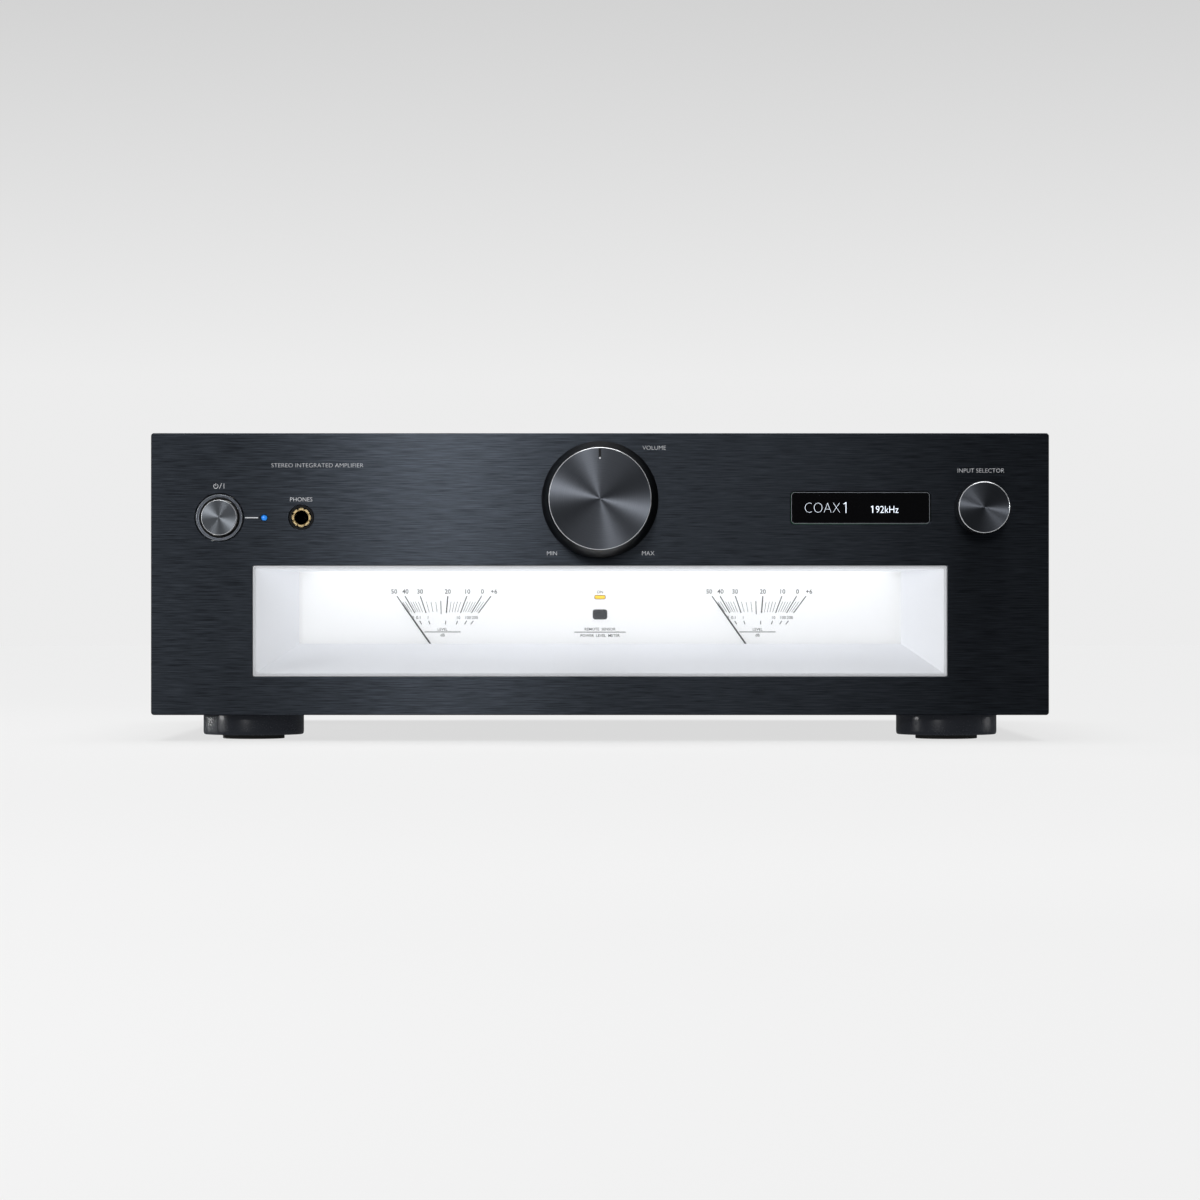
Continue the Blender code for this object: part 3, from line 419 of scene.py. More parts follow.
@dataclass(frozen=True)
class LitFace(Finish):
    """A face that glows, such as a lens over a lamp, or a dial and recess walls whose glow is painted light.
    """

    glow: float = 1.0
    glow_colour: Colour = (1.0, 1.0, 1.0)

    def pattern(self, graph: Graph) -> None:
        """Add a glow with a slight cloud to it."""
        inputs = graph.shader.inputs
        cloud = graph.noise(graph.place((1, 1, 1)), self.grain, 2.0)
        low = shade(self.colour, 1 - self.contrast)
        tint = graph.blend(graph.spread(cloud, 0, 1, *NOISE_RANGE), low, self.colour)
        graph.put(inputs["Base Color"], tint)
        inputs["Emission Color"].default_value = (*self.glow_colour, 1.0)
        inputs["Emission Strength"].default_value = self.glow


@dataclass(frozen=True)
class BoardMask(Finish):
    """Circuit board with copper tracks under a coloured mask."""

    def pattern(self, graph: Graph) -> None:
        """Draw a maze of tracks under the mask."""
        inputs = graph.shader.inputs
        cells = graph.node("ShaderNodeTexBrick", offset=0.5)
        graph.put(cells.inputs["Vector"], graph.place((1, 1, 1)))
        graph.put(cells.inputs["Scale"], 90.0)
        graph.put(cells.inputs["Mortar Size"], 0.035)
        graph.put(cells.inputs["Color1"], (*self.colour, 1.0))
        graph.put(cells.inputs["Color2"], (*shade(self.colour, 0.8), 1.0))
        graph.put(cells.inputs["Mortar"], (*shade(self.colour, 1.9), 1.0))
        graph.put(inputs["Base Color"], cells.outputs["Color"])
        graph.emboss(cells.outputs["Fac"], 0.3, self.depth)


@dataclass(frozen=True)
class WoundRing(Finish):
    """Enamelled wire wound round a ring, its turns fanning out from an upright axis."""

    centre: Point = (0.0, 0.0)
    turns: float = 150.0

    def pattern(self, graph: Graph) -> None:
        """Draw the turns of wire as ribs that run round the ring's section."""
        about = graph.node("ShaderNodeSeparateXYZ")
        graph.put(about.inputs[0], graph.place((1, 1, 1), (*self.centre, 0.0)))
        angle = graph.sums("ARCTAN2", about.outputs["Y"], about.outputs["X"])
        rib = graph.sums("SINE", graph.sums("MULTIPLY", angle, self.turns))
        tint = graph.blend(graph.spread(rib, 0, 1, -1, 1), shade(self.colour, 0.45), self.colour)
        graph.put(graph.shader.inputs["Base Color"], tint)
        graph.emboss(rib, 0.6, 0.0004)


# The finishes that the amplifier uses

PANEL_METAL = BrushedMetal(
    "black_brushed_panel", (0.070, 0.081, 0.099), 0.35, 1.0, contrast=0.55, depth=0.00002, anisotropy=0.95
)
# Bright metal for the needle weights and the cut edges of the knobs and the button; on those edges and on the
# window's edge line its brightness is also a painted highlight.
BRIGHT_METAL_AND_HIGHLIGHT = Finish("bright_metal_painted_highlight", (0.88, 0.90, 0.93), 0.30, 0.35, contrast=0.05)
KNOB_METAL = Finish("black_anodised_knob", (0.0035, 0.004, 0.005), 0.46, contrast=0.10, specular=0.10)
RING_METAL = Finish("satin_ring", (0.50, 0.53, 0.58), 0.36, 0.9, contrast=0.08)
PAINTED = Finish(
    "textured_black_paint", (0.018, 0.018, 0.020), 0.55, grain=1400.0, contrast=0.2, depth=0.00008
)
PLATED = PlatedSheet("zinc_plated_sheet", (0.55, 0.55, 0.53), 0.36, 1.0)
SHAFT = BrushedMetal("ground_shaft", (0.60, 0.60, 0.61), 0.30, 1.0, line_length=0.004)
GOLD = Finish("gold_plate", (1.0, 0.76, 0.40), 0.28, 0.55, contrast=0.06)
NICKEL = Finish("nickel_plate", (0.66, 0.64, 0.60), 0.22, 1.0, contrast=0.06)
DARK_SCREW = Finish("dark_nickel_screw", (0.20, 0.20, 0.21), 0.30, 0.9, contrast=0.1)
BLACK_MOULDED = Finish("black_moulding", (0.016, 0.016, 0.018), 0.46, contrast=0.15)
JACK_MOULDED = Finish("jack_moulding", (0.004, 0.004, 0.005), 0.40, contrast=0.1, specular=0.2)
FOOT_MOULDED = Finish("foot_moulding", (0.020, 0.023, 0.031), 0.26, contrast=0.1, coat=0.35)
RUBBER = Finish("black_rubber", (0.013, 0.013, 0.013), 0.82, contrast=0.2, grain=2500.0)
# The recess walls glow: painted light that stands in for the recess lamp's light on them.
RECESS_PAINTED_GLOW = LitFace("recess_painted_glow", (0.78, 0.80, 0.84), 0.55, grain=400.0, contrast=0.02, glow=0.18)
# The dial glows: painted light that stands in for the recess lamp's light on it.
DIAL_PAINTED_GLOW = LitFace(
    "dial_painted_glow", (0.80, 0.81, 0.82), 0.60, grain=300.0, contrast=0.02, glow=0.38, glow_colour=(0.98, 0.99, 1.0)
)
LAMP_BAR = LitFace("lamp_diffuser", (0.9, 0.9, 0.9), 0.5, glow=1.0)
INK_BLACK = Finish("black_ink", (0.012, 0.012, 0.014), 0.6, contrast=0.1)
INK_WHITE = Finish("white_ink", (0.84, 0.86, 0.90), 0.5, contrast=0.05)
NEEDLE_PAINT = Finish("needle_paint", (0.008, 0.008, 0.009), 0.5, contrast=0.1)
SMOKED = Finish("smoked_lens", (0.012, 0.016, 0.022), 0.16, contrast=0.1, coat=0.2, specular=0.3)
BLACK_GLASS = Finish(
    "black_glass", (0.0015, 0.0015, 0.002), 0.05, contrast=0.1, depth=0.000001, specular=0.35
)
CLEAR = ClearSheet("clear_window", (0.95, 0.97, 1.0), 0.04)
YELLOW_GLOW = LitFace("yellow_lens", (0.85, 0.52, 0.02), 0.35, glow=0.55, glow_colour=(1.0, 0.62, 0.015))
BLUE_GLOW = LitFace("blue_lens", (0.02, 0.14, 0.6), 0.2, glow=0.55, glow_colour=(0.04, 0.32, 0.95))
TEXT_GLOW = LitFace("lit_characters", (0.7, 0.75, 0.8), 0.4, glow=1.1, glow_colour=(0.80, 0.88, 1.0))
WHITE_MOULDED = Finish("white_moulding", (0.78, 0.78, 0.76), 0.42, contrast=0.04)
RED_MOULDED = Finish("red_moulding", (0.50, 0.012, 0.012), 0.40, contrast=0.08)
ORANGE_MOULDED = Finish("orange_moulding", (0.75, 0.20, 0.02), 0.40, contrast=0.08)
CREAM_MOULDED = Finish("cream_moulding", (0.62, 0.60, 0.52), 0.45, contrast=0.06)
BOARD = BoardMask("green_board", (0.012, 0.085, 0.035), 0.35, coat=0.3, depth=0.00004)
SLEEVE = Finish("capacitor_sleeve", (0.012, 0.018, 0.06), 0.28, contrast=0.1, coat=0.4)
CAN_TOP = Finish("bare_can", (0.70, 0.70, 0.71), 0.35, 1.0, contrast=0.05)
SINK = Finish("heat_sink_anodised", (0.030, 0.030, 0.033), 0.45, 0.8, contrast=0.12)
RIBBON = Finish("ribbon_cable", (0.42, 0.43, 0.45), 0.5, contrast=0.08)
SPRING = Finish("spring_wire", (0.60, 0.60, 0.62), 0.25, 1.0, contrast=0.06)


# Making shapes


def mesh_piece(name: str, work: bmesh.types.BMesh, angle: float = SHARP_TURNED) -> bpy.types.Object:
    """Turn a finished bmesh into an object with smooth round faces and sharp edges.

    Args:
        name: The piece's name.
        work: The bmesh, which is freed.
        angle: Edges that bend more than this many degrees stay sharp.

    Returns:
        The object, linked to the scene.
    """
    bmesh.ops.recalc_face_normals(work, faces=work.faces)
    mesh = bpy.data.meshes.new(name)
    work.to_mesh(mesh)
    work.free()
    mesh.shade_smooth()
    mesh.set_sharp_from_angle(angle=math.radians(angle))
    piece = bpy.data.objects.new(name, mesh)
    bpy.context.scene.collection.objects.link(piece)
    return piece


def rounded(points: Profile, steps: int = 4) -> list[Point]:
    """Round the corners of a profile.

    Args:
        points: The corners as (radius, height) or (radius, height, rounding).
        steps: How many steps each rounding takes.

    Returns:
        The profile with its roundings as short straight steps.
    """
    result: list[Point] = []
    for index, corner in enumerate(points):
        here = Vector(corner[:2])
        rounding = corner[2] if len(corner) > 2 else 0.0
        if rounding <= 0 or index in (0, len(points) - 1):
            result.append((here.x, here.y))
            continue
        before = Vector(points[index - 1][:2]) - here
        after = Vector(points[index + 1][:2]) - here
        start = here + before.normalized() * min(rounding, before.length * 0.49)
        end = here + after.normalized() * min(rounding, after.length * 0.49)
        for step in range(steps + 1):
            part = step / steps
            bend = start * (1 - part) ** 2 + here * (2 * part * (1 - part)) + end * part**2
            result.append((bend.x, bend.y))
    return result


def lathe(
    name: str,
    profile: Profile,
    place: Sequence[float],
    facing: Facing,
    closed: bool = False,
    steps: int = 96,
) -> bpy.types.Object:
    """Turn a profile about an axis.

    Args:
        name: The piece's name.
        profile: Corners as (radius, height) or (radius, height, rounding).
        place: The point that height zero stands on.
        facing: The way that the height points.
        closed: Whether the last corner joins the first, as in a ring.
        steps: How many steps make the round.

    Returns:
        The turned piece.
    """
    corners = rounded(profile)
    work = bmesh.new()
    rings: list[list[bmesh.types.BMVert]] = []
    for radius, height in corners:
        count = 1 if radius < 1e-7 else steps
        ring = []
        for step in range(count):
            angle = 2 * math.pi * step / steps
            ring.append(work.verts.new((radius * math.cos(angle), radius * math.sin(angle), height)))
        rings.append(ring)
    following = rings[1:] + (rings[:1] if closed else [])
    for ring, other in zip(rings, following):
        if len(ring) == 1 and len(other) == 1:
            continue
        for step in range(steps):
            after = (step + 1) % steps
            face = [ring[step % len(ring)], ring[after % len(ring)]]
            face += [other[after % len(other)], other[step % len(other)]]
            kept = list(dict.fromkeys(face))
            if len(kept) > 2:
                work.faces.new(kept)
    bmesh.ops.transform(work, matrix=Matrix.Translation(place) @ facing.turn, verts=work.verts)
    return mesh_piece(name, work)


def round_outline(place: Point, radius: float, steps: int = 64) -> list[Point]:
    """List the points of a circle."""
    turn = 2 * math.pi / steps
    return [
        (place[0] + radius * math.cos(turn * i), place[1] + radius * math.sin(turn * i)) for i in range(steps)
    ]


def box_outline(centre: Point, size: Point, radius: float = 0.0002, steps: int = 6) -> list[Point]:
    """List the points of a rectangle with round corners.

    Args:
        centre: Its middle.
        size: Its width and height.
        radius: The corners' radius.
        steps: How many steps each corner takes.

    Returns:
        The outline, anticlockwise.
    """
    points = []
    for quarter, (sign_x, sign_y) in enumerate(((1, 1), (-1, 1), (-1, -1), (1, -1))):
        for step in range(steps + 1):
            angle = (quarter + step / steps) * math.pi / 2
            across = centre[0] + sign_x * (size[0] / 2 - radius) + radius * math.cos(angle)
            up = centre[1] + sign_y * (size[1] / 2 - radius) + radius * math.sin(angle)
            points.append((across, up))
    return points


def curve_mesh(curve: bpy.types.Curve, matrix: Matrix) -> bpy.types.Mesh:
    """Turn a curve into a placed, welded mesh.

    Args:
        curve: The curve data, which is removed.
        matrix: Where it goes.

    Returns:
        The mesh.
    """
    holder = bpy.data.objects.new("holder", curve)
    bpy.context.scene.collection.objects.link(holder)
    graph = bpy.context.evaluated_depsgraph_get()
    graph.update()
    mesh = bpy.data.meshes.new_from_object(holder.evaluated_get(graph))
    bpy.data.objects.remove(holder, do_unlink=True)
    mesh.transform(matrix)
    return mesh


def sheet_piece(
    name: str,
    outlines: Iterable[Sequence[Point]],
    front: float,
    back: float,
    bevel: float = 0.0002,
    facing: Facing = Facing.FRONT,
) -> bpy.types.Object:
    """Cut a flat piece with chamfered edges from an outline and its holes.

    Args:
        name: The piece's name.
        outlines: The edge first, then the holes, as places across and heights.
        front: Where its near face lies on Y, or its underside on Z for a level piece.
        back: Where its far face lies.
        bevel: How wide the chamfers are.
        facing: Whether it stands upright or lies level.

    Returns:
        The piece.
    """
    curve = bpy.data.curves.new(name, "CURVE")
    curve.dimensions = "2D"
    curve.fill_mode = "BOTH"
    curve.extrude = abs(back - front) / 2 - bevel
    curve.bevel_depth = bevel
    curve.bevel_resolution = 1
    curve.offset = -bevel
    for outline in outlines:
        spline = curve.splines.new("POLY")
        spline.points.add(len(outline) - 1)
        for point, (across, height) in zip(spline.points, outline):
            point.co = (across, height, 0.0, 1.0)
        spline.use_cyclic_u = True
    middle = (front + back) / 2
    level = facing is Facing.UP
    shift = Matrix.Translation((0, 0, middle) if level else (0, middle, 0))
    turn = Matrix.Identity(4) if level else Facing.FRONT.lettering
    mesh = curve_mesh(curve, shift @ turn)
    work = bmesh.new()
    work.from_mesh(mesh)
    bpy.data.meshes.remove(mesh)
    bmesh.ops.remove_doubles(work, verts=work.verts, dist=WELD)
    return mesh_piece(name, work, SHARP_SHEET)


def block_piece(
    name: str, low: Sequence[float], high: Sequence[float], bevel: float = 0.0004, steps: int = 2
) -> bpy.types.Object:
    """Make a block with rounded edges between two corners."""
    work = bmesh.new()
    add_block(work, low, high, bevel, steps)
    return mesh_piece(name, work)


def add_block(
    work: bmesh.types.BMesh,
    low: Sequence[float],
    high: Sequence[float],
    bevel: float = 0.0004,
    steps: int = 2,
) -> None:
    """Add a block with rounded edges to a bmesh.

    Args:
        work: The bmesh to add to.
        low: The lowest corner.
        high: The highest corner.
        bevel: The rounding of its edges.
        steps: How many steps the rounding takes.
    """
    made = bmesh.ops.create_cube(work, size=1.0)["verts"]
    low, high = Vector(low), Vector(high)
    bmesh.ops.scale(work, vec=high - low, verts=made)
    bmesh.ops.translate(work, vec=(low + high) / 2, verts=made)
    if bevel > 0:
        edges = list({edge for vert in made for edge in vert.link_edges})
        bmesh.ops.bevel(work, geom=edges, offset=bevel, segments=steps, profile=0.5, affect="EDGES")


def cut_away(piece: bpy.types.Object, tool: bpy.types.Object) -> bpy.types.Object:
    """Cut a piece with a tool and apply the result.

    Args:
        piece: The piece to cut.
        tool: The shape to cut away, which is removed.

    Returns:
        The cut piece.
    """
    step = piece.modifiers.new("cut", "BOOLEAN")
    step.operation = "DIFFERENCE"
    step.solver = "EXACT"
    step.object = tool
    graph = bpy.context.evaluated_depsgraph_get()
    graph.update()
    mesh = bpy.data.meshes.new_from_object(piece.evaluated_get(graph))
    piece.modifiers.clear()
    old = piece.data
    piece.data = mesh
    bpy.data.meshes.remove(old)
    bpy.data.objects.remove(tool, do_unlink=True)
    if not mesh.polygons:
        raise ValueError(f"nothing is left of {piece.name}")
    mesh.shade_smooth()
    mesh.set_sharp_from_angle(angle=math.radians(SHARP_CUT))
    return piece


def fit(
    piece: bpy.types.Object,
    finish: Finish,
    body: str = "chassis",
    replaces: Sequence[str] = (),
) -> bpy.types.Object:
    """Give a piece its finish and fix it to the body that it moves with.

    Args:
        piece: The piece, in its place.
        finish: What its surface is.
        body: The body that it rides on.
        replaces: The nodes that it stands for.

    Returns:
        The piece.
    """
    piece.data.materials.clear()
    piece.data.materials.append(finish.material())
    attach(piece, body)
    if replaces:
        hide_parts(*replaces)
    LOG.info("%s rides on %s", piece.name, body)
    return piece


def dress(node: str, finish: Finish) -> None:
    """Give a frame node that keeps its shape a finish."""
    mesh = FRAME["nodes"][node].data
    mesh.materials.clear()
    mesh.materials.append(finish.material())
    LOG.info("%s keeps its shape", node)


class Legend:
    """Printed lines and lettering on one flat face, made as one very thin piece."""

    def __init__(
        self,
        name: str,
        face: float,
        facing: Facing = Facing.FRONT,
        ink: float = 0.00006,
    ) -> None:
        """Start an empty legend.

        Args:
            name: The piece's name.
            face: Where the printed face lies on Y.
            facing: The way that the face looks.
            ink: How thick the ink is.
        """
        self.name = name
        self.facing = facing
        self.ink = ink
        away = -1 if facing is Facing.FRONT else 1
        self.middle = face + away * ink / 2
        self.work = bmesh.new()

    def letters(
        self,
        text: str,
        place: Point,
        height: float,
        align: Align = Align.CENTRE,
        thin: float = 0.018,
        width: float = 0.0,
    ) -> None:
        """Print a line of lettering.

        Args:
            text: What it says.
            place: Where its baseline's left end or middle stands.
            height: How tall its capitals are.
            align: Which of those the place is.
            thin: How far the letters' outlines shrink, as a share of their height.
            width: How wide the whole line is, or 0 for the letters' own width.
        """
        curve = bpy.data.curves.new("letters", "FONT")
        curve.body = text
        curve.align_x = align.value
        curve.size = height / CAPITAL_HEIGHT
        curve.offset = -height * thin
        curve.extrude = self.ink / 2
        curve.resolution_u = 3
        shift = Matrix.Translation((place[0], self.middle, place[1]))
        mesh = curve_mesh(curve, shift @ self.facing.lettering)
        if width:
            spans = [vert.co.x for vert in mesh.vertices]
            stretch = Matrix.Diagonal((width / (max(spans) - min(spans)), 1.0, 1.0, 1.0))
            about = Matrix.Translation((place[0], 0, 0))
            mesh.transform(about @ stretch @ about.inverted())
        self.work.from_mesh(mesh)
        bpy.data.meshes.remove(mesh)

    def patch(self, corners: Sequence[Point]) -> None:
        """Print a filled shape from its corners."""
        near = [self.work.verts.new((x, self.middle - self.ink / 2, z)) for x, z in corners]
        far = [self.work.verts.new((x, self.middle + self.ink / 2, z)) for x, z in corners]
        self.work.faces.new(near)
        self.work.faces.new(list(reversed(far)))
        count = len(corners)
        for i in range(count):
            j = (i + 1) % count
            self.work.faces.new((near[j], near[i], far[i], far[j]))

    def bar(self, start: Point, end: Point, width: float) -> None:
        """Print a straight line."""
        along = (Vector(end) - Vector(start)).normalized() * (width / 2)
        side = Vector((-along.y, along.x))
        corners = (Vector(start) - side, Vector(end) - side, Vector(end) + side, Vector(start) + side)
        self.patch([(corner.x, corner.y) for corner in corners])

    def arc(self, place: Point, radius: float, width: float, start: float, end: float) -> None:
        """Print part of a ring, between two angles in degrees."""
        steps = 24
        inner, outer = [], []
        for step in range(steps + 1):
            angle = math.radians(start + (end - start) * step / steps)
            ray = Vector((math.cos(angle), math.sin(angle)))
            inner.append(Vector(place) + ray * (radius - width / 2))
            outer.append(Vector(place) + ray * (radius + width / 2))
        for i in range(steps):
            corners = (inner[i], outer[i], outer[i + 1], inner[i + 1])
            self.patch([(corner.x, corner.y) for corner in corners])

    def finish(self, ink: Finish, slot: str) -> bpy.types.Object:
        """Make the legend's piece and fix it to the case."""
        bmesh.ops.remove_doubles(self.work, verts=self.work.verts, dist=WELD)
        return fit(mesh_piece(self.name, self.work), ink)


@dataclass
class Screw:
    """A pan head screw with a cross recess."""

    radius: float = 0.0032
    height: float = 0.0014
    finish: Finish = DARK_SCREW

    def place(self, name: str, point: Sequence[float], direction: Vector) -> bpy.types.Object:
        """Set the screw's head on a face.

        Args:
            name: The piece's name.
            point: Where the head stands.
            direction: The way that the head looks.

        Returns:
            The screw's head.
        """
        profile = ((0.0, self.height), (self.radius * 0.75, self.height * 0.8, 0.0008), (self.radius, 0.0))
        head = lathe(name, profile + ((0.0, 0.0),), (0, 0, 0), Facing.UP, steps=28)
        arm = self.radius * 0.55
        slot = self.radius * 0.12
        for half in ((arm, slot), (slot, arm)):
            low = (-half[0], -half[1], self.height * 0.35)
            cut = block_piece("recess", low, (half[0], half[1], self.height * 1.5), 0.0)
            head = cut_away(head, cut)
        turn = Vector((0, 0, 1)).rotation_difference(direction).to_matrix().to_4x4()
        head.data.transform(Matrix.Translation(point) @ turn)
        return fit(head, self.finish)


# Sub-assemblies


@dataclass
class FrontPanel:
    """The brushed panel with its openings and its legends."""

    chamfer: float = 0.00035
    corner: float = 0.0014
    gap: float = 0.0003
    shaft_hole: float = 0.0047
    button_hole: float = 0.01155
    jack_hole: float = 0.0059
    lamp_hole: float = 0.0015
    letter: float = 0.0020
    stroke: float = 0.00024

    def build(self) -> None:
        """Make the panel and print its legends."""
        panel = Span.of("front_panel")
        window = Span.of("meter_window")
        display = Span.of("display_window")
        room = 2 * self.gap
        outlines = [
            box_outline(panel.place, (panel.size.x, panel.size.z), self.corner, 8),
            box_outline(window.place, (window.size.x + room, window.size.z + room), 0.0007),
            box_outline(display.place, (display.size.x + room, display.size.z + room), 0.0019),
            round_outline(Span.of("volume_shaft").place, self.shaft_hole),
            round_outline(Span.of("input_shaft").place, self.shaft_hole),
            round_outline(Span.of("power_button_ring").place, self.button_hole, 96),
            round_outline(Span.of("phones_jack_collar").place, self.jack_hole, 96),
            round_outline(Span.of("standby_lamp").place, self.lamp_hole, 40),
        ]
        plate = sheet_piece("panel_plate", outlines, panel.low.y, panel.high.y, self.chamfer)
        fit(plate, PANEL_METAL, replaces=["front_panel"])
        self.print_legends(panel.low.y)

    def print_legends(self, face: float) -> None:
        """Print the names of the controls.

        Args:
            face: Where the panel's front lies on Y.
        """
        volume = Span.of("volume_shaft").place
        selector = Span.of("input_shaft").place
        power = Span.of("power_button_ring").place
        phones = Span.of("phones_jack_collar").place
        lamp = Span.of("standby_lamp").place
        legend = Legend("panel_legends", face)
        size = self.letter
        legend.letters("VOLUME", (volume[0] + 0.026, volume[1] + 0.0238), size)
        legend.letters("MIN", (volume[0] - 0.023, volume[1] - 0.0267), size)
        legend.letters("MAX", (volume[0] + 0.023, volume[1] - 0.0267), size)
        legend.letters("PHONES", (phones[0], phones[1] + 0.0077), size)
        legend.letters("INPUT SELECTOR", (selector[0], selector[1] + 0.0170), size)
        legend.letters(
            "STEREO INTEGRATED AMPLIFIER", (phones[0] - 0.0144, 0.1308), size, Align.LEFT, 0.032, width=0.044
        )
        x, z = power[0] - 0.0016, power[1] + 0.0150
        legend.arc((x, z), 0.00105, self.stroke, 125, 415)
        legend.bar((x, z + 0.0001), (x, z + 0.0014), self.stroke)
        legend.bar((x + 0.0017, z - 0.0012), (x + 0.0028, z + 0.0014), 0.0002)
        legend.bar((x + 0.0039, z - 0.0011), (x + 0.0039, z + 0.0013), self.stroke)
        legend.bar((power[0] + 0.01245, lamp[1]), (lamp[0] - 0.0028, lamp[1]), 0.0005)
        legend.finish(INK_WHITE, "black_aluminium")


@dataclass
class MeterBay:
    """The lit recess: scales, needles, window, sensor and indicator."""

    needle_reach: float = 0.034
    rest_angle: float = -35.0
    trim: float = 0.00032
    majors: Sequence[tuple[str, float, float]] = (
        ("50", -35.1, -35.7), ("40", -30.0, -28.8), ("30", -18.9, -18.5), ("20", 4.7, 4.5),
        ("10", 20.6, 20.2), ("0", 31.1, 30.7), ("+6", 36.8, 37.4),
    )
    minors: Sequence[float] = (
        -33.8, -32.2, -28.3, -26.5, -24.6, -22.2, -15.2, -11.0, -6.4, 8.2, 11.3, 14.2, 17.2, 23.0, 25.2, 27.3,
        29.2, 33.0, 34.9,
    )
    lower: Sequence[tuple[str, float]] = (
        ("0", -35.1), ("0.1", -29.6), ("1", -18.9), ("", 4.7), ("10", 20.6), ("100", 31.1), ("200", 37.6)
    )
    bold: float = -0.01
    lamp_share: float = 0.86
    lamp_depth: float = 0.010
    lamp_power: float = 0.0053
    lamp_height: float = 0.0795
    lamp_tilt: float = 12.0

    def build(self) -> None:
        """Make everything in the recess."""
        # The recess walls' glow is painted light on top of the recess lamp's light.
        dress("meter_surround", RECESS_PAINTED_GLOW)
        # The dial's glow is painted light on top of the recess lamp's light.
        dress("scale_plate", DIAL_PAINTED_GLOW)
        dress("meter_lamp_bar", LAMP_BAR)
        dress("meter_window", CLEAR)
        self.make_trim()
        face = Span.of("scale_plate").low.y
        for side in ("left", "right"):
            self.print_scale(side, face)
            self.make_needle(side)
            dress(f"{side}_meter_movement", BLACK_MOULDED)
        self.make_middle(face)
        self.light_recess()

    def pivot(self, side: str) -> Vector:
        """Give a needle's pivot."""
        movement = Span.of(f"{side}_meter_movement").centre
        return Vector((movement.x, Span.of(f"{side}_needle").centre.y, movement.z))

    def make_trim(self) -> None:
        """Run a thin bright line round the window's edge: a painted highlight."""
        window = Span.of("meter_window")
        wide, high = window.size.x, window.size.z
        edge = 2 * self.trim
        outlines = [
            box_outline(window.place, (wide, high), 0.0005),
            box_outline(window.place, (wide - edge, high - edge), 0.0003),
        ]
        line = sheet_piece("window_edge_painted_highlight", outlines, window.low.y - 0.0001, window.low.y, 0.00003)
        fit(line, BRIGHT_METAL_AND_HIGHLIGHT)

    def print_scale(self, side: str, face: float) -> None:
        """Print one meter's scale.

        Args:
            side: Which meter.
            face: Where the scale plate's front lies on Y.
        """
        pivot = self.pivot(side)
        legend = Legend(f"{side}_scale_print", face)
        low, high, short = 0.0233, 0.0315, 0.0288

        def ray(angle: float, rise: float) -> Point:
            """Give the point on a ray from the pivot at a height over it."""
            return (pivot.x + rise * math.tan(math.radians(angle)), pivot.z + rise)

        for text, angle, label in self.majors:
            legend.bar(ray(angle, low), ray(angle, high), 0.00056 if text == "20" else 0.00046)
            legend.letters(text, ray(label, high + 0.0012), 0.0021, thin=-0.015)
        for angle in self.minors:
            legend.bar(ray(angle, low + 0.0004), ray(angle, short), 0.00021)
        legend.bar(ray(-1.6, low - 0.0006), ray(-1.6, short + 0.0004), 0.00040)
        for text, angle in self.lower:
            legend.letters(text, ray(angle, 0.0204), 0.0014, thin=self.bold)
            legend.bar(ray(angle, 0.0178), ray(angle, 0.0195), 0.00040)
        under = pivot.z + 0.0141
        legend.bar((pivot.x - 0.0088, under), (pivot.x + 0.0088, under), 0.00036)
        legend.letters("LEVEL", (pivot.x, under + 0.0006), 0.0013, thin=self.bold)
        legend.letters("dB", (pivot.x, under - 0.0022), 0.0014, thin=self.bold)
        legend.finish(INK_BLACK, "white_plastic")

    def make_needle(self, side: str) -> None:
        """Make one needle with its boss, its spindle and its balance weight."""
        pivot = self.pivot(side)
        node = Span.of(f"{side}_needle")
        front = node.low.y
        wide, narrow, tail = 0.00042, 0.00034, -0.0075
        blade = [(-wide, tail), (wide, tail), (wide, 0.0), (narrow, self.needle_reach)]
        blade += [(-narrow, self.needle_reach), (-wide, 0.0)]
        needle = sheet_piece(f"{side}_pointer", [blade], front + 0.0003, front + 0.0008, 0.00005)
        swing = Matrix.Rotation(math.radians(self.rest_angle), 4, "Y")
        needle.data.transform(Matrix.Translation((pivot.x, 0, pivot.z)) @ swing)
        fit(needle, NEEDLE_PAINT, f"{side}_needle", [f"{side}_needle"])
        at = (pivot.x, front, pivot.z)
        profile = ((0.0, 0.0), (0.0016, 0.0, 0.0003), (0.0021, -0.0004, 0.0002), (0.0021, -0.0011))
        profile += ((0.0012, -0.0011), (0.0012, -0.0118, 0.0002), (0.0, -0.0120))
        boss = lathe(f"{side}_pointer_boss", profile, at, Facing.FRONT, steps=48)
        fit(boss, NEEDLE_PAINT, f"{side}_needle")
        end = swing @ Vector((0, 0, -0.0085))
        profile = ((0.0, 0.0), (0.0024, 0.0, 0.0003), (0.0024, -0.0011, 0.0003), (0.0, -0.0011))
        spot = (pivot.x + end.x, front, pivot.z + end.z)
        weight = lathe(f"{side}_pointer_weight", profile, spot, Facing.FRONT, steps=40)
        fit(weight, BRIGHT_METAL_AND_HIGHLIGHT, f"{side}_needle")

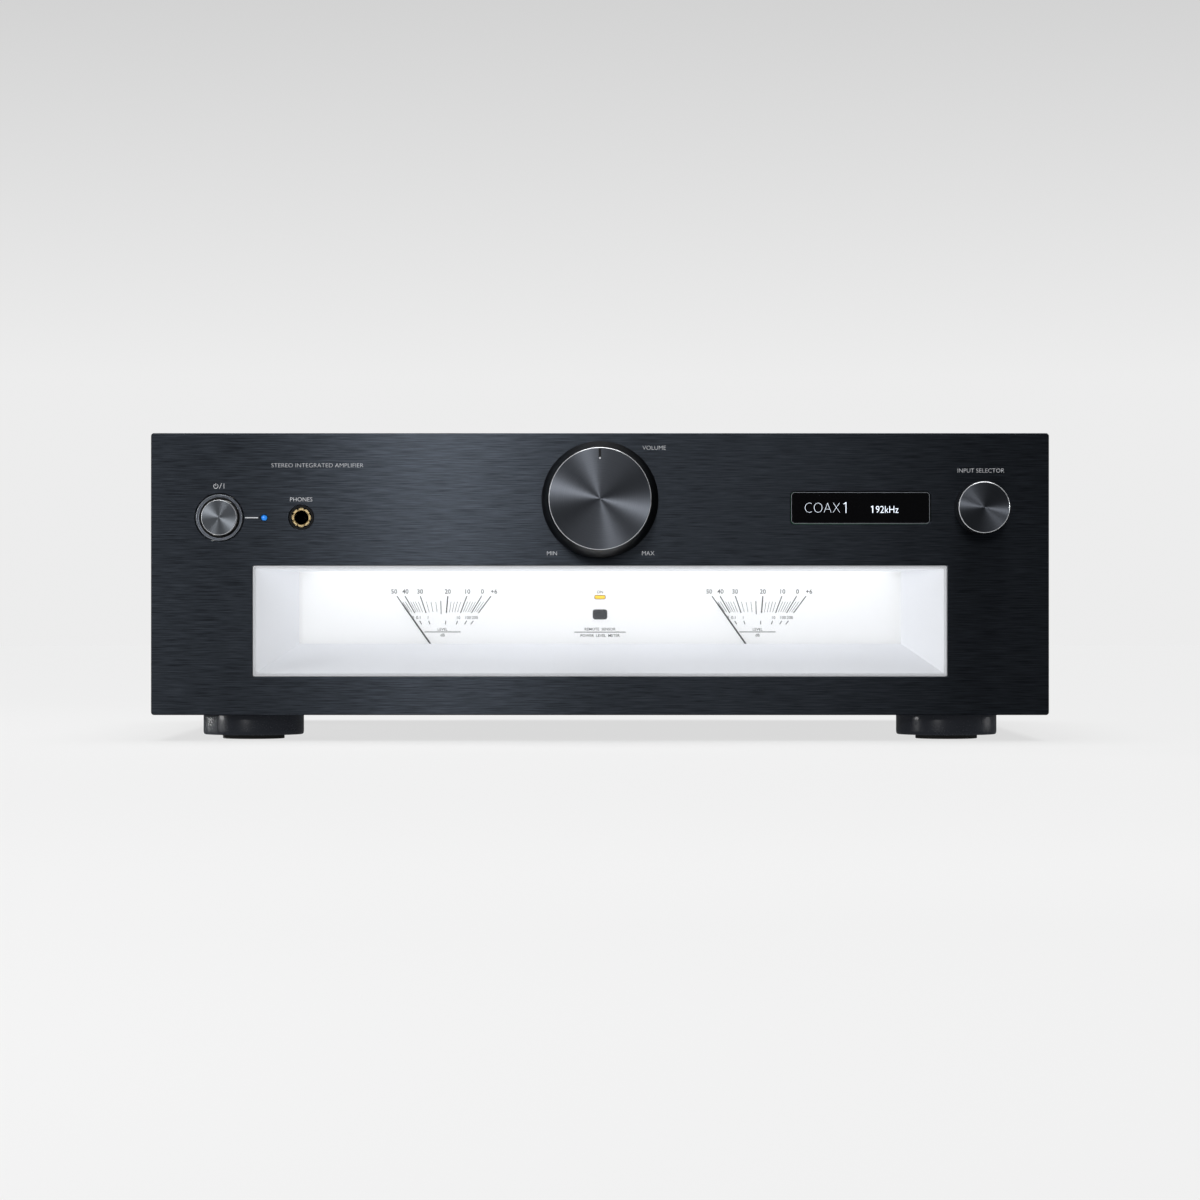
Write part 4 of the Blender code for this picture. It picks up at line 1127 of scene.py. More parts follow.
    def make_middle(self, face: float) -> None:
        """Make the sensor, the indicator and the lines between the two scales."""
        sensor = Span.of("remote_sensor")
        outline = box_outline(sensor.place, (sensor.size.x, sensor.size.z), 0.0010)
        lens = sheet_piece("sensor_lens", [outline], sensor.low.y, sensor.high.y, 0.0003)
        fit(lens, SMOKED, replaces=["remote_sensor"])
        lamp = Span.of("status_indicator")
        outline = box_outline(lamp.place, (lamp.size.x, lamp.size.z), 0.0004)
        lit = sheet_piece("indicator_lens", [outline], lamp.low.y, lamp.high.y, 0.00015)
        fit(lit, YELLOW_GLOW, replaces=["status_indicator"])
        legend = Legend("centre_print", face)
        rise = sensor.centre.z - 0.0086
        legend.bar((-0.0125, rise), (0.0125, rise), 0.00036)
        legend.letters("REMOTE  SENSOR", (0.0, rise + 0.0008), 0.0013, thin=self.bold)
        legend.letters("POWER  LEVEL  METER", (0.0, rise - 0.0023), 0.0013, thin=self.bold)
        legend.letters("ON", (0.0, lamp.centre.z + 0.0018), 0.0014, thin=self.bold)
        legend.finish(INK_BLACK, "white_plastic")

    def light_recess(self) -> None:
        """Hang the lamp that lights the recess under its top wall."""
        bar = Span.of("meter_lamp_bar")
        surround = Span.of("meter_surround")
        lamp = bpy.data.lights.new("recess_lamp", "AREA")
        lamp.shape = "RECTANGLE"
        lamp.size = bar.size.x * self.lamp_share
        lamp.size_y = self.lamp_depth
        lamp.energy = self.lamp_power
        lamp.color = (0.99, 0.99, 1.0)
        holder = bpy.data.objects.new("recess_lamp", lamp)
        bpy.context.scene.collection.objects.link(holder)
        holder.location = (0.0, surround.high.y - 0.0075, self.lamp_height)
        holder.rotation_euler = (math.radians(self.lamp_tilt), 0, 0)
        holder.visible_camera = False
        holder.visible_glossy = False


@dataclass
class TurnedKnob:
    """A turned knob with a spun metal cap."""

    name: str
    body: str
    shaft: str
    control: str
    skirt: Sequence[tuple[float, ...]]
    cap_chamfer: float = 0.00026
    face_colour: Colour = (0.145, 0.157, 0.180)
    notch: Point = (0.0, 0.0)

    def build(self) -> None:
        """Make the knob, its cap, its edge and its pointer."""
        knob = Span.of(self.name)
        cap = Span.of(f"{self.name}_cap")
        place = cap.place
        at = (place[0], 0.0, place[1])
        front, back = -knob.low.y, -knob.high.y
        wall, hub, bore = 0.0022, 0.0062, 0.0033
        inside = [
            (knob.size.x / 2 - wall, back), (cap.size.x / 2 - wall, front - 0.0025),
            (hub, front - 0.0025), (hub, back + 0.0025), (bore, back + 0.0025),
            (bore, front - 0.0035), (0.0, front - 0.0035),
        ]
        outside = [(0.0, front)] + [
            (radius, back + rise * knob.size.y, *rest) for radius, rise, *rest in self.skirt
        ]
        shell = lathe(f"{self.name}_shell", outside + inside, at, Facing.FRONT, steps=KNOB_STEPS)
        fit(shell, KNOB_METAL, self.body, [self.name])
        self.make_cap(cap, at)
        dress(self.shaft, SHAFT)
        dress(self.control, PLATED)

    def make_cap(self, cap: Span, at: Sequence[float]) -> None:
        """Make the spun cap with its bright edge, a cut edge with a painted highlight all round.

        Args:
            cap: The cap's box.
            at: A point on its axis.
        """
        radius = cap.size.x / 2
        front = -cap.low.y
        back = -cap.high.y
        edge = self.cap_chamfer
        face = SpunMetal(
            f"{self.name}_spun", self.face_colour, 0.35, 1.0, contrast=0.12, depth=0.00001,
            centre=(at[0], at[2]), anisotropy=0.95,
        )
        inner = radius - edge
        disc = ((0.0, front), (inner, front), (inner, back), (0.0, back))
        plate = lathe(f"{self.name}_face", disc, at, Facing.FRONT, steps=KNOB_STEPS)
        if self.notch[0] > 0:
            width, length = self.notch
            top = at[2] + radius
            low = (at[0] - width / 2, -front - 0.001, top - length)
            high = (at[0] + width / 2, -front + 0.0006, top + 0.001)
            cut_away(plate, block_piece("notch", low, high, 0.0))
            # A white dot at the notch's lower end: a painted highlight where the groove's end catches the
            # light.
            painted_glint = ((0.0, 0.0004), (0.0005, 0.0003, 0.0002), (0.0005, -0.0004), (0.0, -0.0004))
            spot = (at[0], -front + 0.0004, top - length + 0.0006)
            lit = lathe(f"{self.name}_dot", painted_glint, spot, Facing.FRONT, steps=24)
            fit(lit, INK_WHITE, self.body)
            # A black block on the notch's floor: painted shade in the groove.
            shade_low = (at[0] - width / 2 - 0.0001, -front + 0.00055, top - length - 0.0001)
            shade_high = (at[0] + width / 2 + 0.0001, -front + 0.00075, top - edge - 0.0002)
            floor = block_piece(f"{self.name}_notch_painted_shade", shade_low, shade_high, 0.0)
            fit(floor, INK_BLACK, self.body)
        fit(plate, face, self.body, [f"{self.name}_cap"])
        # The bright ring on the chamfer: a cut edge, its brightness partly a painted highlight.
        ring = (
            (inner + 0.00001, front),
            (radius, front - edge, 0.00005),
            (radius, back, 0.00005),
            (inner + 0.00001, back),
        )
        trim = lathe(f"{self.name}_bright_edge", ring, at, Facing.FRONT, closed=True, steps=KNOB_STEPS)
        fit(trim, BRIGHT_METAL_AND_HIGHLIGHT, self.body)


@dataclass
class PowerButton:
    """The dished ring, the button, its spring and switch, and the lamp beside it."""

    edge: float = 0.00026
    gap: float = 0.0004
    liner: float = 0.0009
    length: float = 0.0080
    stem: float = 0.0025
    cup: Point = (0.0048, 0.0026)

    def build(self) -> None:
        """Make the button and what is round it."""
        ring = Span.of("power_button_ring")
        button = Span.of("power_button")
        at = (ring.centre.x, 0.0, ring.centre.z)
        front = -ring.low.y
        outer = ring.size.x / 2
        sleeve = button.size.x / 2 + self.gap
        inner = sleeve + self.liner
        dish = (
            (outer - 0.0003, front, 0.0001),
            (outer, front - 0.0003, 0.0001),
            (outer, -ring.high.y),
            (inner, -ring.high.y),
            (inner, front - 0.0016, 0.0002),
            (inner + 0.0006, front - 0.0013, 0.0006),
            (outer - 0.0007, front - 0.0002, 0.0006),
        )
        made = lathe("button_dish", dish, at, Facing.FRONT, closed=True, steps=BUTTON_STEPS)
        fit(made, RING_METAL, replaces=["power_button_ring"])
        lining = ((sleeve, front - 0.0026), (inner - 0.0001, front - 0.0026))
        lining += ((inner - 0.0001, -ring.high.y), (sleeve, -ring.high.y))
        liner = lathe("button_liner", lining, at, Facing.FRONT, closed=True, steps=96)
        fit(liner, JACK_MOULDED)
        radius = button.size.x / 2
        top = -button.low.y
        back = top - self.length
        core = (
            (0.0, top),
            (radius - self.edge, top),
            (radius - self.edge, back),
            (self.cup[0], back),
            (self.cup[0], back + self.cup[1]),
            (self.stem, back + self.cup[1]),
            (self.stem, -button.high.y, 0.0003),
            (0.0, -button.high.y),
        )
        face = SpunMetal(
            "button_spun", (0.18, 0.195, 0.215), 0.36, 1.0, contrast=0.10, depth=0.00001,
            centre=(at[0], at[2]), anisotropy=0.95,
        )
        pushed = lathe("button_face", core, at, Facing.FRONT, steps=BUTTON_STEPS)
        fit(pushed, face, "power_button", ["power_button"])
        # The bright ring on the button's chamfer: a cut edge, its brightness partly a painted highlight.
        rim = (
            (radius - self.edge + 0.00001, top),
            (radius, top - self.edge, 0.00005),
            (radius, back, 0.0001),
            (radius - self.edge + 0.00001, back),
        )
        trim = lathe("button_bright_edge", rim, at, Facing.FRONT, closed=True, steps=BUTTON_STEPS)
        fit(trim, BRIGHT_METAL_AND_HIGHLIGHT, "power_button")
        dress("power_switch", BLACK_MOULDED)
        dress("power_button_spring", SPRING)
        self.make_lamp()

    def make_lamp(self) -> None:
        """Make the domed lens of the standby lamp."""
        lamp = Span.of("standby_lamp")
        radius = lamp.size.x / 2
        front = -lamp.low.y
        dome = ((0.0, front), (radius * 0.6, front - 0.0001, 0.0003), (radius, front - 0.0008, 0.0003))
        dome += ((radius, -lamp.high.y), (0.0, -lamp.high.y))
        lens = lathe("lamp_lens", dome, (lamp.centre.x, 0, lamp.centre.z), Facing.FRONT, steps=48)
        fit(lens, BLUE_GLOW, replaces=["standby_lamp"])


@dataclass
class PhonesJack:
    """The phones jack with its notched metal collar."""

    notches: int = 8
    notch_width: float = 0.0011
    notch_depth: float = 0.0010
    gold_radius: float = 0.00455
    bore_radius: float = 0.0034

    def build(self) -> None:
        """Make the nose, the collar and the body behind them."""
        dress("phones_jack", JACK_MOULDED)
        collar = Span.of("phones_jack_collar")
        at = (collar.centre.x, 0.0, collar.centre.z)
        outer = collar.size.x / 2
        nose = self.gold_radius + 0.00005
        front = -collar.low.y
        back = -collar.high.y
        rim = (
            (outer - 0.0003, front, 0.0001),
            (outer, front - 0.0003, 0.0001),
            (outer, back),
            (nose, back),
            (nose, front - 0.0002, 0.0001),
        )
        made = lathe("jack_rim", rim, at, Facing.FRONT, closed=True, steps=JACK_STEPS)
        fit(made, JACK_MOULDED)
        outer, bore = self.gold_radius, self.bore_radius
        ring = (
            (outer, front - 0.0001, 0.0001),
            (outer, back),
            (bore, back),
            (bore, front - 0.0006, 0.0002),
            (bore + 0.0004, front - 0.0001, 0.0002),
        )
        made = lathe("jack_collar", ring, at, Facing.FRONT, closed=True, steps=JACK_STEPS)
        work = bmesh.new()
        for index in range(self.notches):
            turn = Matrix.Rotation(2 * math.pi * (index + 0.5) / self.notches, 4, "Y")
            half = self.notch_width / 2
            low = (-half, -front - 0.001, outer - self.notch_depth)
            high = (half, -front + 0.0016, outer + 0.001)
            before = set(work.verts)
            add_block(work, low, high, 0.0)
            fresh = [vert for vert in work.verts if vert not in before]
            bmesh.ops.transform(work, matrix=Matrix.Translation(at) @ turn, verts=fresh)
        made = cut_away(made, mesh_piece("collar_cuts", work))
        fit(made, GOLD, replaces=["phones_jack_collar"])


@dataclass
class Display:
    """The dark window with lit characters."""

    trim: float = 0.00022

    def build(self) -> None:
        """Make the lens and the characters behind its face."""
        window = Span.of("display_window")
        outline = box_outline(window.place, (window.size.x, window.size.z), 0.0017)
        lens = sheet_piece("display_lens", [outline], window.low.y, window.high.y, 0.0003)
        fit(lens, BLACK_GLASS, replaces=["display_window"])
        dress("display_module", BLACK_MOULDED)
        edge = 2 * self.trim
        ring = [outline, box_outline(window.place, (window.size.x - edge, window.size.z - edge), 0.0014)]
        face = window.low.y
        line = sheet_piece("display_trim", ring, face - 0.00006, face + 0.0001, 0.00002)
        fit(line, RING_METAL)
        legend = Legend("display_characters", window.low.y, ink=0.00004)
        left, base = window.low.x, window.centre.z - 0.0024
        legend.letters("COAX", (left + 0.0060, base), 0.0051, Align.LEFT, 0.050, width=0.0168)
        self.print_one(legend, (left + 0.0262, base), 0.0051, 0.00034)
        self.print_one(legend, (left + 0.0390, base), 0.0034, 0.00045)
        legend.letters("92kHz", (left + 0.0403, base), 0.0034, Align.LEFT, 0.012, width=0.0109)
        legend.finish(TEXT_GLOW, "black_glass")

    def print_one(self, legend: Legend, foot: Point, height: float, stroke: float) -> None:
        """Print the digit one with its flag.

        Args:
            legend: The characters under way.
            foot: Where the digit's upright stands.
            height: How tall it is.
            stroke: How wide its lines are.
        """
        top = foot[1] + height
        legend.bar(foot, (foot[0], top), stroke)
        legend.bar((foot[0], top - stroke / 2), (foot[0] - height * 0.22, top - height * 0.17), stroke)


@dataclass
class Feet:
    """Four round feet with ribbed rubber pads."""

    corner: float = 0.0018
    grooves: int = 3
    groove_pitch: float = 0.0036
    groove_depth: float = 0.0005

    def build(self) -> None:
        """Make each foot and its pad."""
        for end in ("front", "rear"):
            for side in ("left", "right"):
                self.make_foot(f"{end}_{side}")

    def make_foot(self, which: str) -> None:
        """Make one foot and its pad."""
        foot = Span.of(f"foot_{which}")
        pad = Span.of(f"foot_pad_{which}")
        at = (foot.centre.x, foot.centre.y, 0.0)
        radius = foot.size.x / 2
        bottom = foot.low.z
        top = foot.high.z
        recess = pad.size.x / 2 + 0.0003
        shell = (
            (0.0, top),
            (radius - 0.0004, top, 0.0),
            (radius, top - 0.0004, 0.0004),
            (radius, bottom + 0.0001, self.corner),
            (radius - self.corner, bottom, 0.0002),
            (recess, bottom, 0.0003),
            (recess, pad.high.z + 0.0003),
            (0.0, pad.high.z + 0.0003),
        )
        made = lathe(f"foot_shell_{which}", shell, at, Facing.UP, steps=128)
        fit(made, FOOT_MOULDED, replaces=[f"foot_{which}"])
        rib = pad.size.x / 2
        profile: list[tuple[float, ...]] = [(0.0, pad.high.z), (rib, pad.high.z, 0.0003)]
        profile.append((rib, pad.low.z, 0.0004))
        inside = pad.low.z + self.groove_depth
        for groove in range(self.grooves):
            outer = rib - 0.0022 - groove * self.groove_pitch
            profile += [(outer, pad.low.z), (outer - 0.0003, inside)]
            profile += [(outer - 0.0012, inside), (outer - 0.0015, pad.low.z)]
        profile.append((0.0, pad.low.z))
        rubber = lathe(f"foot_rubber_{which}", profile, at, Facing.UP, steps=72)
        fit(rubber, RUBBER, replaces=[f"foot_pad_{which}"])


@dataclass
class Case:
    """The folded cover, the base and their screws."""

    fold: float = 0.0024
    sheet: float = 0.0012
    slot_size: Point = (0.0032, 0.052)
    slot_pitch: float = 0.0130
    slot_rows: Sequence[float] = (-0.040, 0.040, 0.120)
    slots_each_way: int = 6

    def build(self) -> None:
        """Make the cover and set its screws."""
        cover = Span.of("top_cover")
        self.make_cover(cover)
        dress("chassis_base", PLATED)
        dress("front_subframe", PLATED)
        screw = Screw()
        for side, name in ((-1, "left"), (1, "right")):
            x = side * (cover.size.x / 2)
            for number, y in enumerate((-0.120, 0.020, 0.160), start=1):
                point = (x, y, cover.low.z + 0.0145)
                screw.place(f"cover_screw_{name}_{number}", point, Vector((side, 0, 0)))

    def make_cover(self, cover: Span) -> None:
        """Fold the cover from sheet and cut its air slots.

        Args:
            cover: The cover's box.
        """
        half = cover.size.x / 2
        inset = self.fold
        section: list[Point] = [(-half, cover.low.z)]
        for sign, start in ((-1, 180), (1, 90)):
            for step in range(7):
                angle = math.radians(start - step * 15)
                x = sign * (half - inset) + inset * math.cos(angle)
                section.append((x, cover.high.z - inset + inset * math.sin(angle)))
        section.append((half, cover.low.z))
        work = bmesh.new()
        rows = [[work.verts.new((x, y, z)) for x, z in section] for y in (cover.low.y, cover.high.y)]
        for i in range(len(section) - 1):
            work.faces.new((rows[0][i], rows[0][i + 1], rows[1][i + 1], rows[1][i]))
        shell = mesh_piece("cover_shell", work)
        thick = shell.modifiers.new("sheet", "SOLIDIFY")
        thick.thickness = self.sheet
        thick.offset = -1.0
        thick.use_even_offset = True
        cut_away(shell, self.slot_tool(cover))
        fit(shell, PAINTED, replaces=["top_cover"])

    def slot_tool(self, cover: Span) -> bpy.types.Object:
        """Make the tool that cuts the air slots, each with round ends."""
        work = bmesh.new()
        width, length = self.slot_size
        for row in self.slot_rows:
            for column in range(-self.slots_each_way, self.slots_each_way + 1):
                outline = box_outline((column * self.slot_pitch, row), (width, length), width * 0.499, 5)
                bottom = [work.verts.new((x, y, cover.high.z - 0.004)) for x, y in outline]
                top = [work.verts.new((x, y, cover.high.z + 0.004)) for x, y in outline]
                work.faces.new(list(reversed(bottom)))
                work.faces.new(top)
                for i in range(len(outline)):
                    j = (i + 1) % len(outline)
                    work.faces.new((bottom[i], bottom[j], top[j], top[i]))
        return mesh_piece("slot_tool", work)


@dataclass
class RearPanel:
    """The rear panel with its connectors, terminals, screws and legends."""

    barrel: float = 0.00415
    flange: float = 0.0056
    flange_depth: float = 0.0012
    reach: float = 0.0090
    pitch: float = 0.021
    columns: int = 5
    post_hole: float = 0.0045
    board_inset: float = 0.0030
    letter: float = 0.0026

    def build(self) -> None:
        """Make the panel and everything on it."""
        panel = Span.of("rear_panel")
        places = self.line_places()
        inlet = Span.of("mains_inlet")
        usb = Span.of("usb_socket")
        optical = self.optical_place()
        coax = self.coax_place()
        posts = [Span.of(f"speaker_post_cap_{n}").place for n in range(1, 5)]
        outlines = [
            box_outline(panel.place, (panel.size.x, panel.size.z), 0.001),
            box_outline(inlet.place, (0.0282, 0.0206), 0.0004, 3),
            box_outline(usb.place, (0.0126, 0.0116), 0.0004, 3),
            box_outline(optical, (0.0126, 0.0126), 0.0004, 3),
        ]
        outlines += [round_outline(place, self.barrel + 0.0003, 40) for place in [coax, *places]]
        outlines += [round_outline(place, self.post_hole, 40) for place in posts]
        plate = sheet_piece("rear_plate", outlines, panel.low.y, panel.high.y, 0.0001)
        fit(plate, PAINTED, replaces=["rear_panel"])
        self.make_line_jacks(places, panel.high.y)
        self.make_digital(optical, coax, panel.high.y)
        self.make_usb(usb)
        self.make_terminals(panel.high.y)
        self.make_inlet(inlet)
        self.set_screws(panel)
        self.print_legends(panel.high.y, places, posts)

    def line_places(self) -> list[Point]:
        """List the analogue jacks' places."""
        middle = Span.of("analog_input_jacks").place
        return [
            (middle[0] + (column - (self.columns - 1) / 2) * self.pitch, middle[1] + row * self.pitch)
            for column in range(self.columns)
            for row in (-0.5, 0.5)
        ]

    def optical_place(self) -> Point:
        """Give the middle of the optical input."""
        return Span.of("optical_shutter").place

    def coax_place(self) -> Point:
        """Give the middle of the coaxial input."""
        flap = Span.of("optical_shutter")
        return (flap.centre.x, flap.centre.z - 0.020)

    def make_barrel(self, label: str, place: Point, face: float, insert: Finish, metal: Finish) -> None:
        """Make one round jack: a metal barrel, its coloured insert and its inner contact.

        Args:
            label: The start of its pieces' names.
            place: Its place across and its height.
            face: Where the rear panel's outside lies on Y.
            insert: The insert's finish.
            metal: The barrel's finish.
        """
        at = (place[0], face, place[1])
        inner, deep = self.reach - 0.0006, -0.006
        barrel = (
            (self.barrel, self.reach, 0.0003), (self.barrel, self.flange_depth, 0.0),
            (self.flange, self.flange_depth, 0.0002), (self.flange, 0.0001),
            (0.0031, 0.0001), (0.0031, self.reach, 0.0003),
        )
        shell = lathe(f"{label}_barrel", barrel, at, Facing.REAR, closed=True, steps=64)
        fit(shell, metal)
        core = ((0.0030, inner, 0.0002), (0.0030, deep), (0.0017, deep), (0.0017, inner, 0.0002))
        fill = lathe(f"{label}_insert", core, at, Facing.REAR, closed=True, steps=48)
        fit(fill, insert)

    def make_line_jacks(self, places: Sequence[Point], face: float) -> None:
        """Make the block of analogue jacks."""
        node = Span.of("analog_input_jacks")
        high = (node.high.x, Span.of("rear_panel").low.y - 0.0003, node.high.z)
        body = block_piece("line_jack_block", node.low, high, 0.0006)
        fit(body, BLACK_MOULDED, replaces=["analog_input_jacks"])
        middle = sum(place[1] for place in places) / len(places)
        for number, place in enumerate(places, start=1):
            insert = WHITE_MOULDED if place[1] > middle else RED_MOULDED
            self.make_barrel(f"line_jack_{number:02d}", place, face, insert, GOLD)

    def make_digital(self, optical: Point, coax: Point, face: float) -> None:
        """Make the digital block, the optical input's nose and the coaxial jack."""
        dress("digital_input_block", BLACK_MOULDED)
        dress("optical_shutter", BLACK_MOULDED)
        at = (coax[0], face, coax[1])
        inner, outer = self.barrel + 0.0001, self.barrel + 0.0004
        ring = (
            (self.flange, self.flange_depth, 0.0002), (self.flange, 0.0001), (inner, 0.0001),
            (inner, self.reach, 0.0001), (outer, self.reach, 0.0001), (outer, self.flange_depth),
        )
        sleeve = lathe("coax_sleeve", ring, at, Facing.REAR, closed=True, steps=64)
        fit(sleeve, GOLD)
        tip = ((0.0036, 0.0096, 0.0002), (0.0036, 0.0091), (0.0018, 0.0091), (0.0018, 0.0096, 0.0002))
        insert = lathe("coax_insert", tip, at, Facing.REAR, closed=True, steps=48)
        fit(insert, ORANGE_MOULDED)
        edge = box_outline(optical, (0.0134, 0.0134), 0.0008)
        mouth = box_outline(optical, (0.0092, 0.0092), 0.0003)
        frame = sheet_piece("optical_frame", [edge, mouth], face + 0.0021, face + 0.0028, 0.0001)
        fit(frame, BLACK_MOULDED)

    def make_usb(self, usb: Span) -> None:
        """Give the data socket its tongue."""
        dress("usb_socket", NICKEL)
        low = (usb.centre.x - 0.0030, usb.high.y - 0.0120, usb.centre.z - 0.0018)
        high = (usb.centre.x + 0.0030, usb.high.y - 0.0045, usb.centre.z + 0.0018)
        fit(block_piece("usb_tongue", low, high, 0.0003), CREAM_MOULDED)

    def make_terminals(self, face: float) -> None:
        """Make the speaker terminal board, its posts and their turning caps."""
        board = Span.of("speaker_terminal_board")
        cap = Span.of("speaker_post_cap_1")
        outer = cap.low.y - self.board_inset
        outline = [box_outline(board.place, (board.size.x, board.size.z), 0.003)]
        plate = sheet_piece("terminal_plate", outline, face + 0.0003, outer, 0.0005)
        fit(plate, BLACK_MOULDED, replaces=["speaker_terminal_board"])
        for number in range(1, 5):
            self.make_post(number, outer, RED_MOULDED if number % 2 == 0 else BLACK_MOULDED)

    def make_post(self, number: int, outer: float, band: Finish) -> None:
        """Make one post and its cap.

        Args:
            number: Which post.
            outer: Where the terminal board's outside lies on Y.
            band: The finish of the cap's coloured band.
        """
        node = f"speaker_post_cap_{number}"
        cap = Span.of(node)
        x, z = cap.place
        at = (x, outer, z)
        reach = cap.high.y - 0.0040 - outer
        post = ((0.0, reach), (0.0030, reach, 0.0004), (0.0030, 0.0016), (0.0072, 0.0016, 0.0002))
        post += ((0.0072, 0.0), (0.0030, 0.0), (0.0030, -0.012), (0.0, -0.012))
        fit(lathe(f"speaker_post_{number}", post, at, Facing.REAR, steps=64), GOLD)
        radius = cap.size.x / 2
        start, end = cap.low.y - outer, cap.high.y - outer
        shell = (
            (0.0, end - 0.0012),
            (0.0030, end - 0.0012, 0.0003),
            (0.0034, end, 0.0003),
            (radius - 0.0010, end, 0.0006),
            (radius - 0.0002, end - 0.0014, 0.0004),
            (radius - 0.0002, start + 0.0046, 0.0002),
            (radius - 0.0012, start + 0.0040, 0.0002),
            (radius - 0.0012, start, 0.0003),
            (0.0034, start),
            (0.0034, reach + 0.0003),
            (0.0, reach + 0.0003),
        )
        made = lathe(f"post_cap_{number}", shell, at, Facing.REAR, steps=96)
        self.cut_grip(made, at, radius, start + 0.0055, end - 0.0020)
        fit(made, BLACK_MOULDED, node, [node])
        ring = (
            (radius - 0.0006, start + 0.0040), (radius - 0.0006, start + 0.0006, 0.0002),
            (radius - 0.00125, start + 0.0006), (radius - 0.00125, start + 0.0040),
        )
        trim = lathe(f"post_band_{number}", ring, at, Facing.REAR, closed=True, steps=96)
        fit(trim, band, node)

    def cut_grip(
        self, cap: bpy.types.Object, at: Sequence[float], radius: float, start: float, end: float
    ) -> None:
        """Cut the finger grooves round a cap."""
        work = bmesh.new()
        count = 12
        for index in range(count):
            turn = Matrix.Rotation(2 * math.pi * index / count, 4, "Y")
            before = set(work.verts)
            bmesh.ops.create_cone(
                work, cap_ends=True, segments=16, radius1=0.0013, radius2=0.0013, depth=end - start
            )
            fresh = [vert for vert in work.verts if vert not in before]
            upright = Matrix.Translation((radius + 0.0003, (start + end) / 2, 0)) @ Facing.REAR.turn
            bmesh.ops.transform(work, matrix=Matrix.Translation(at) @ turn @ upright, verts=fresh)
        cut_away(cap, mesh_piece("grip_tool", work))

    def make_inlet(self, inlet: Span) -> None:
        """Give the mains inlet its blades and its screws."""
        dress("mains_inlet", BLACK_MOULDED)
        x, z = inlet.place
        wide, tall = 0.00115, 0.00215
        for number, (dx, dz) in enumerate(((-0.007, -0.002), (0.0, 0.002), (0.007, -0.002)), start=1):
            low = (x + dx - wide, inlet.high.y - 0.0160, z + dz - tall)
            high = (x + dx + wide, inlet.high.y - 0.0052, z + dz + tall)
            fit(block_piece(f"inlet_blade_{number}", low, high, 0.0004), NICKEL)
        screw = Screw(0.0026, 0.0012)
        for name, side in (("left", -1), ("right", 1)):
            point = (x + side * 0.0195, inlet.high.y, z)
            screw.place(f"inlet_screw_{name}", point, OUTWARD)

    def set_screws(self, panel: Span) -> None:
        """Set the screws round the rear panel's edge and beside its connectors."""
        screw = Screw(0.0027, 0.0013)
        top = panel.high.z - 0.0060
        bottom = panel.low.z + 0.0075
        for number, x in enumerate((-0.195, -0.100, 0.0, 0.100, 0.195), start=1):
            screw.place(f"rear_screw_top_{number}", (x, panel.high.y, top), OUTWARD)
            screw.place(f"rear_screw_bottom_{number}", (x, panel.high.y, bottom), OUTWARD)
        board = Span.of("speaker_terminal_board")
        outer = Span.of("speaker_post_cap_1").low.y - self.board_inset
        for number, x in enumerate((board.low.x + 0.005, 0.0, board.high.x - 0.005), start=1):
            screw.place(f"terminal_screw_{number}", (x, outer, board.centre.z), OUTWARD)
        jacks = Span.of("analog_input_jacks")
        for number, column in enumerate((-1.5, 0.0, 1.5), start=1):
            spot = (jacks.centre.x + column * self.pitch, panel.high.y, jacks.centre.z)
            screw.place(f"jack_screw_{number}", spot, OUTWARD)

    def print_legends(self, face: float, places: Sequence[Point], posts: Sequence[Point]) -> None:
        """Print the names of the connectors."""
        legend = Legend("rear_legends", face, Facing.REAR)
        size = self.letter
        for number in range(self.columns):
            x = places[2 * number][0]
            legend.letters(f"LINE {self.columns - number}", (x, places[1][1] + 0.0085), size)
        edge = max(place[0] for place in places) + 0.0095
        legend.letters("L", (edge, places[1][1] - size / 2), size)
        legend.letters("R", (edge, places[0][1] - size / 2), size)
        optical = self.optical_place()
        coax = self.coax_place()
        legend.letters("OPTICAL", (optical[0], optical[1] + 0.0085), size)
        legend.letters("COAXIAL", (coax[0], coax[1] - 0.0125), size)
        usb = Span.of("usb_socket").place
        legend.letters("USB", (usb[0], usb[1] + 0.0085), size)
        legend.letters("SPEAKERS", (0.0, posts[0][1] + 0.0210), size * 1.2)
        for post, text in zip(posts, ("R -", "R +", "L -", "L +")):
            legend.letters(text, (post[0], posts[0][1] - 0.0225), size)
        inlet = Span.of("mains_inlet").place
        legend.letters("AC IN", (inlet[0], inlet[1] + 0.0160), size * 1.2)
        row = places[1][1] + 0.0125
        legend.bar((places[0][0] - 0.010, row), (edge, row), 0.0003)
        legend.finish(INK_WHITE, "painted_steel")


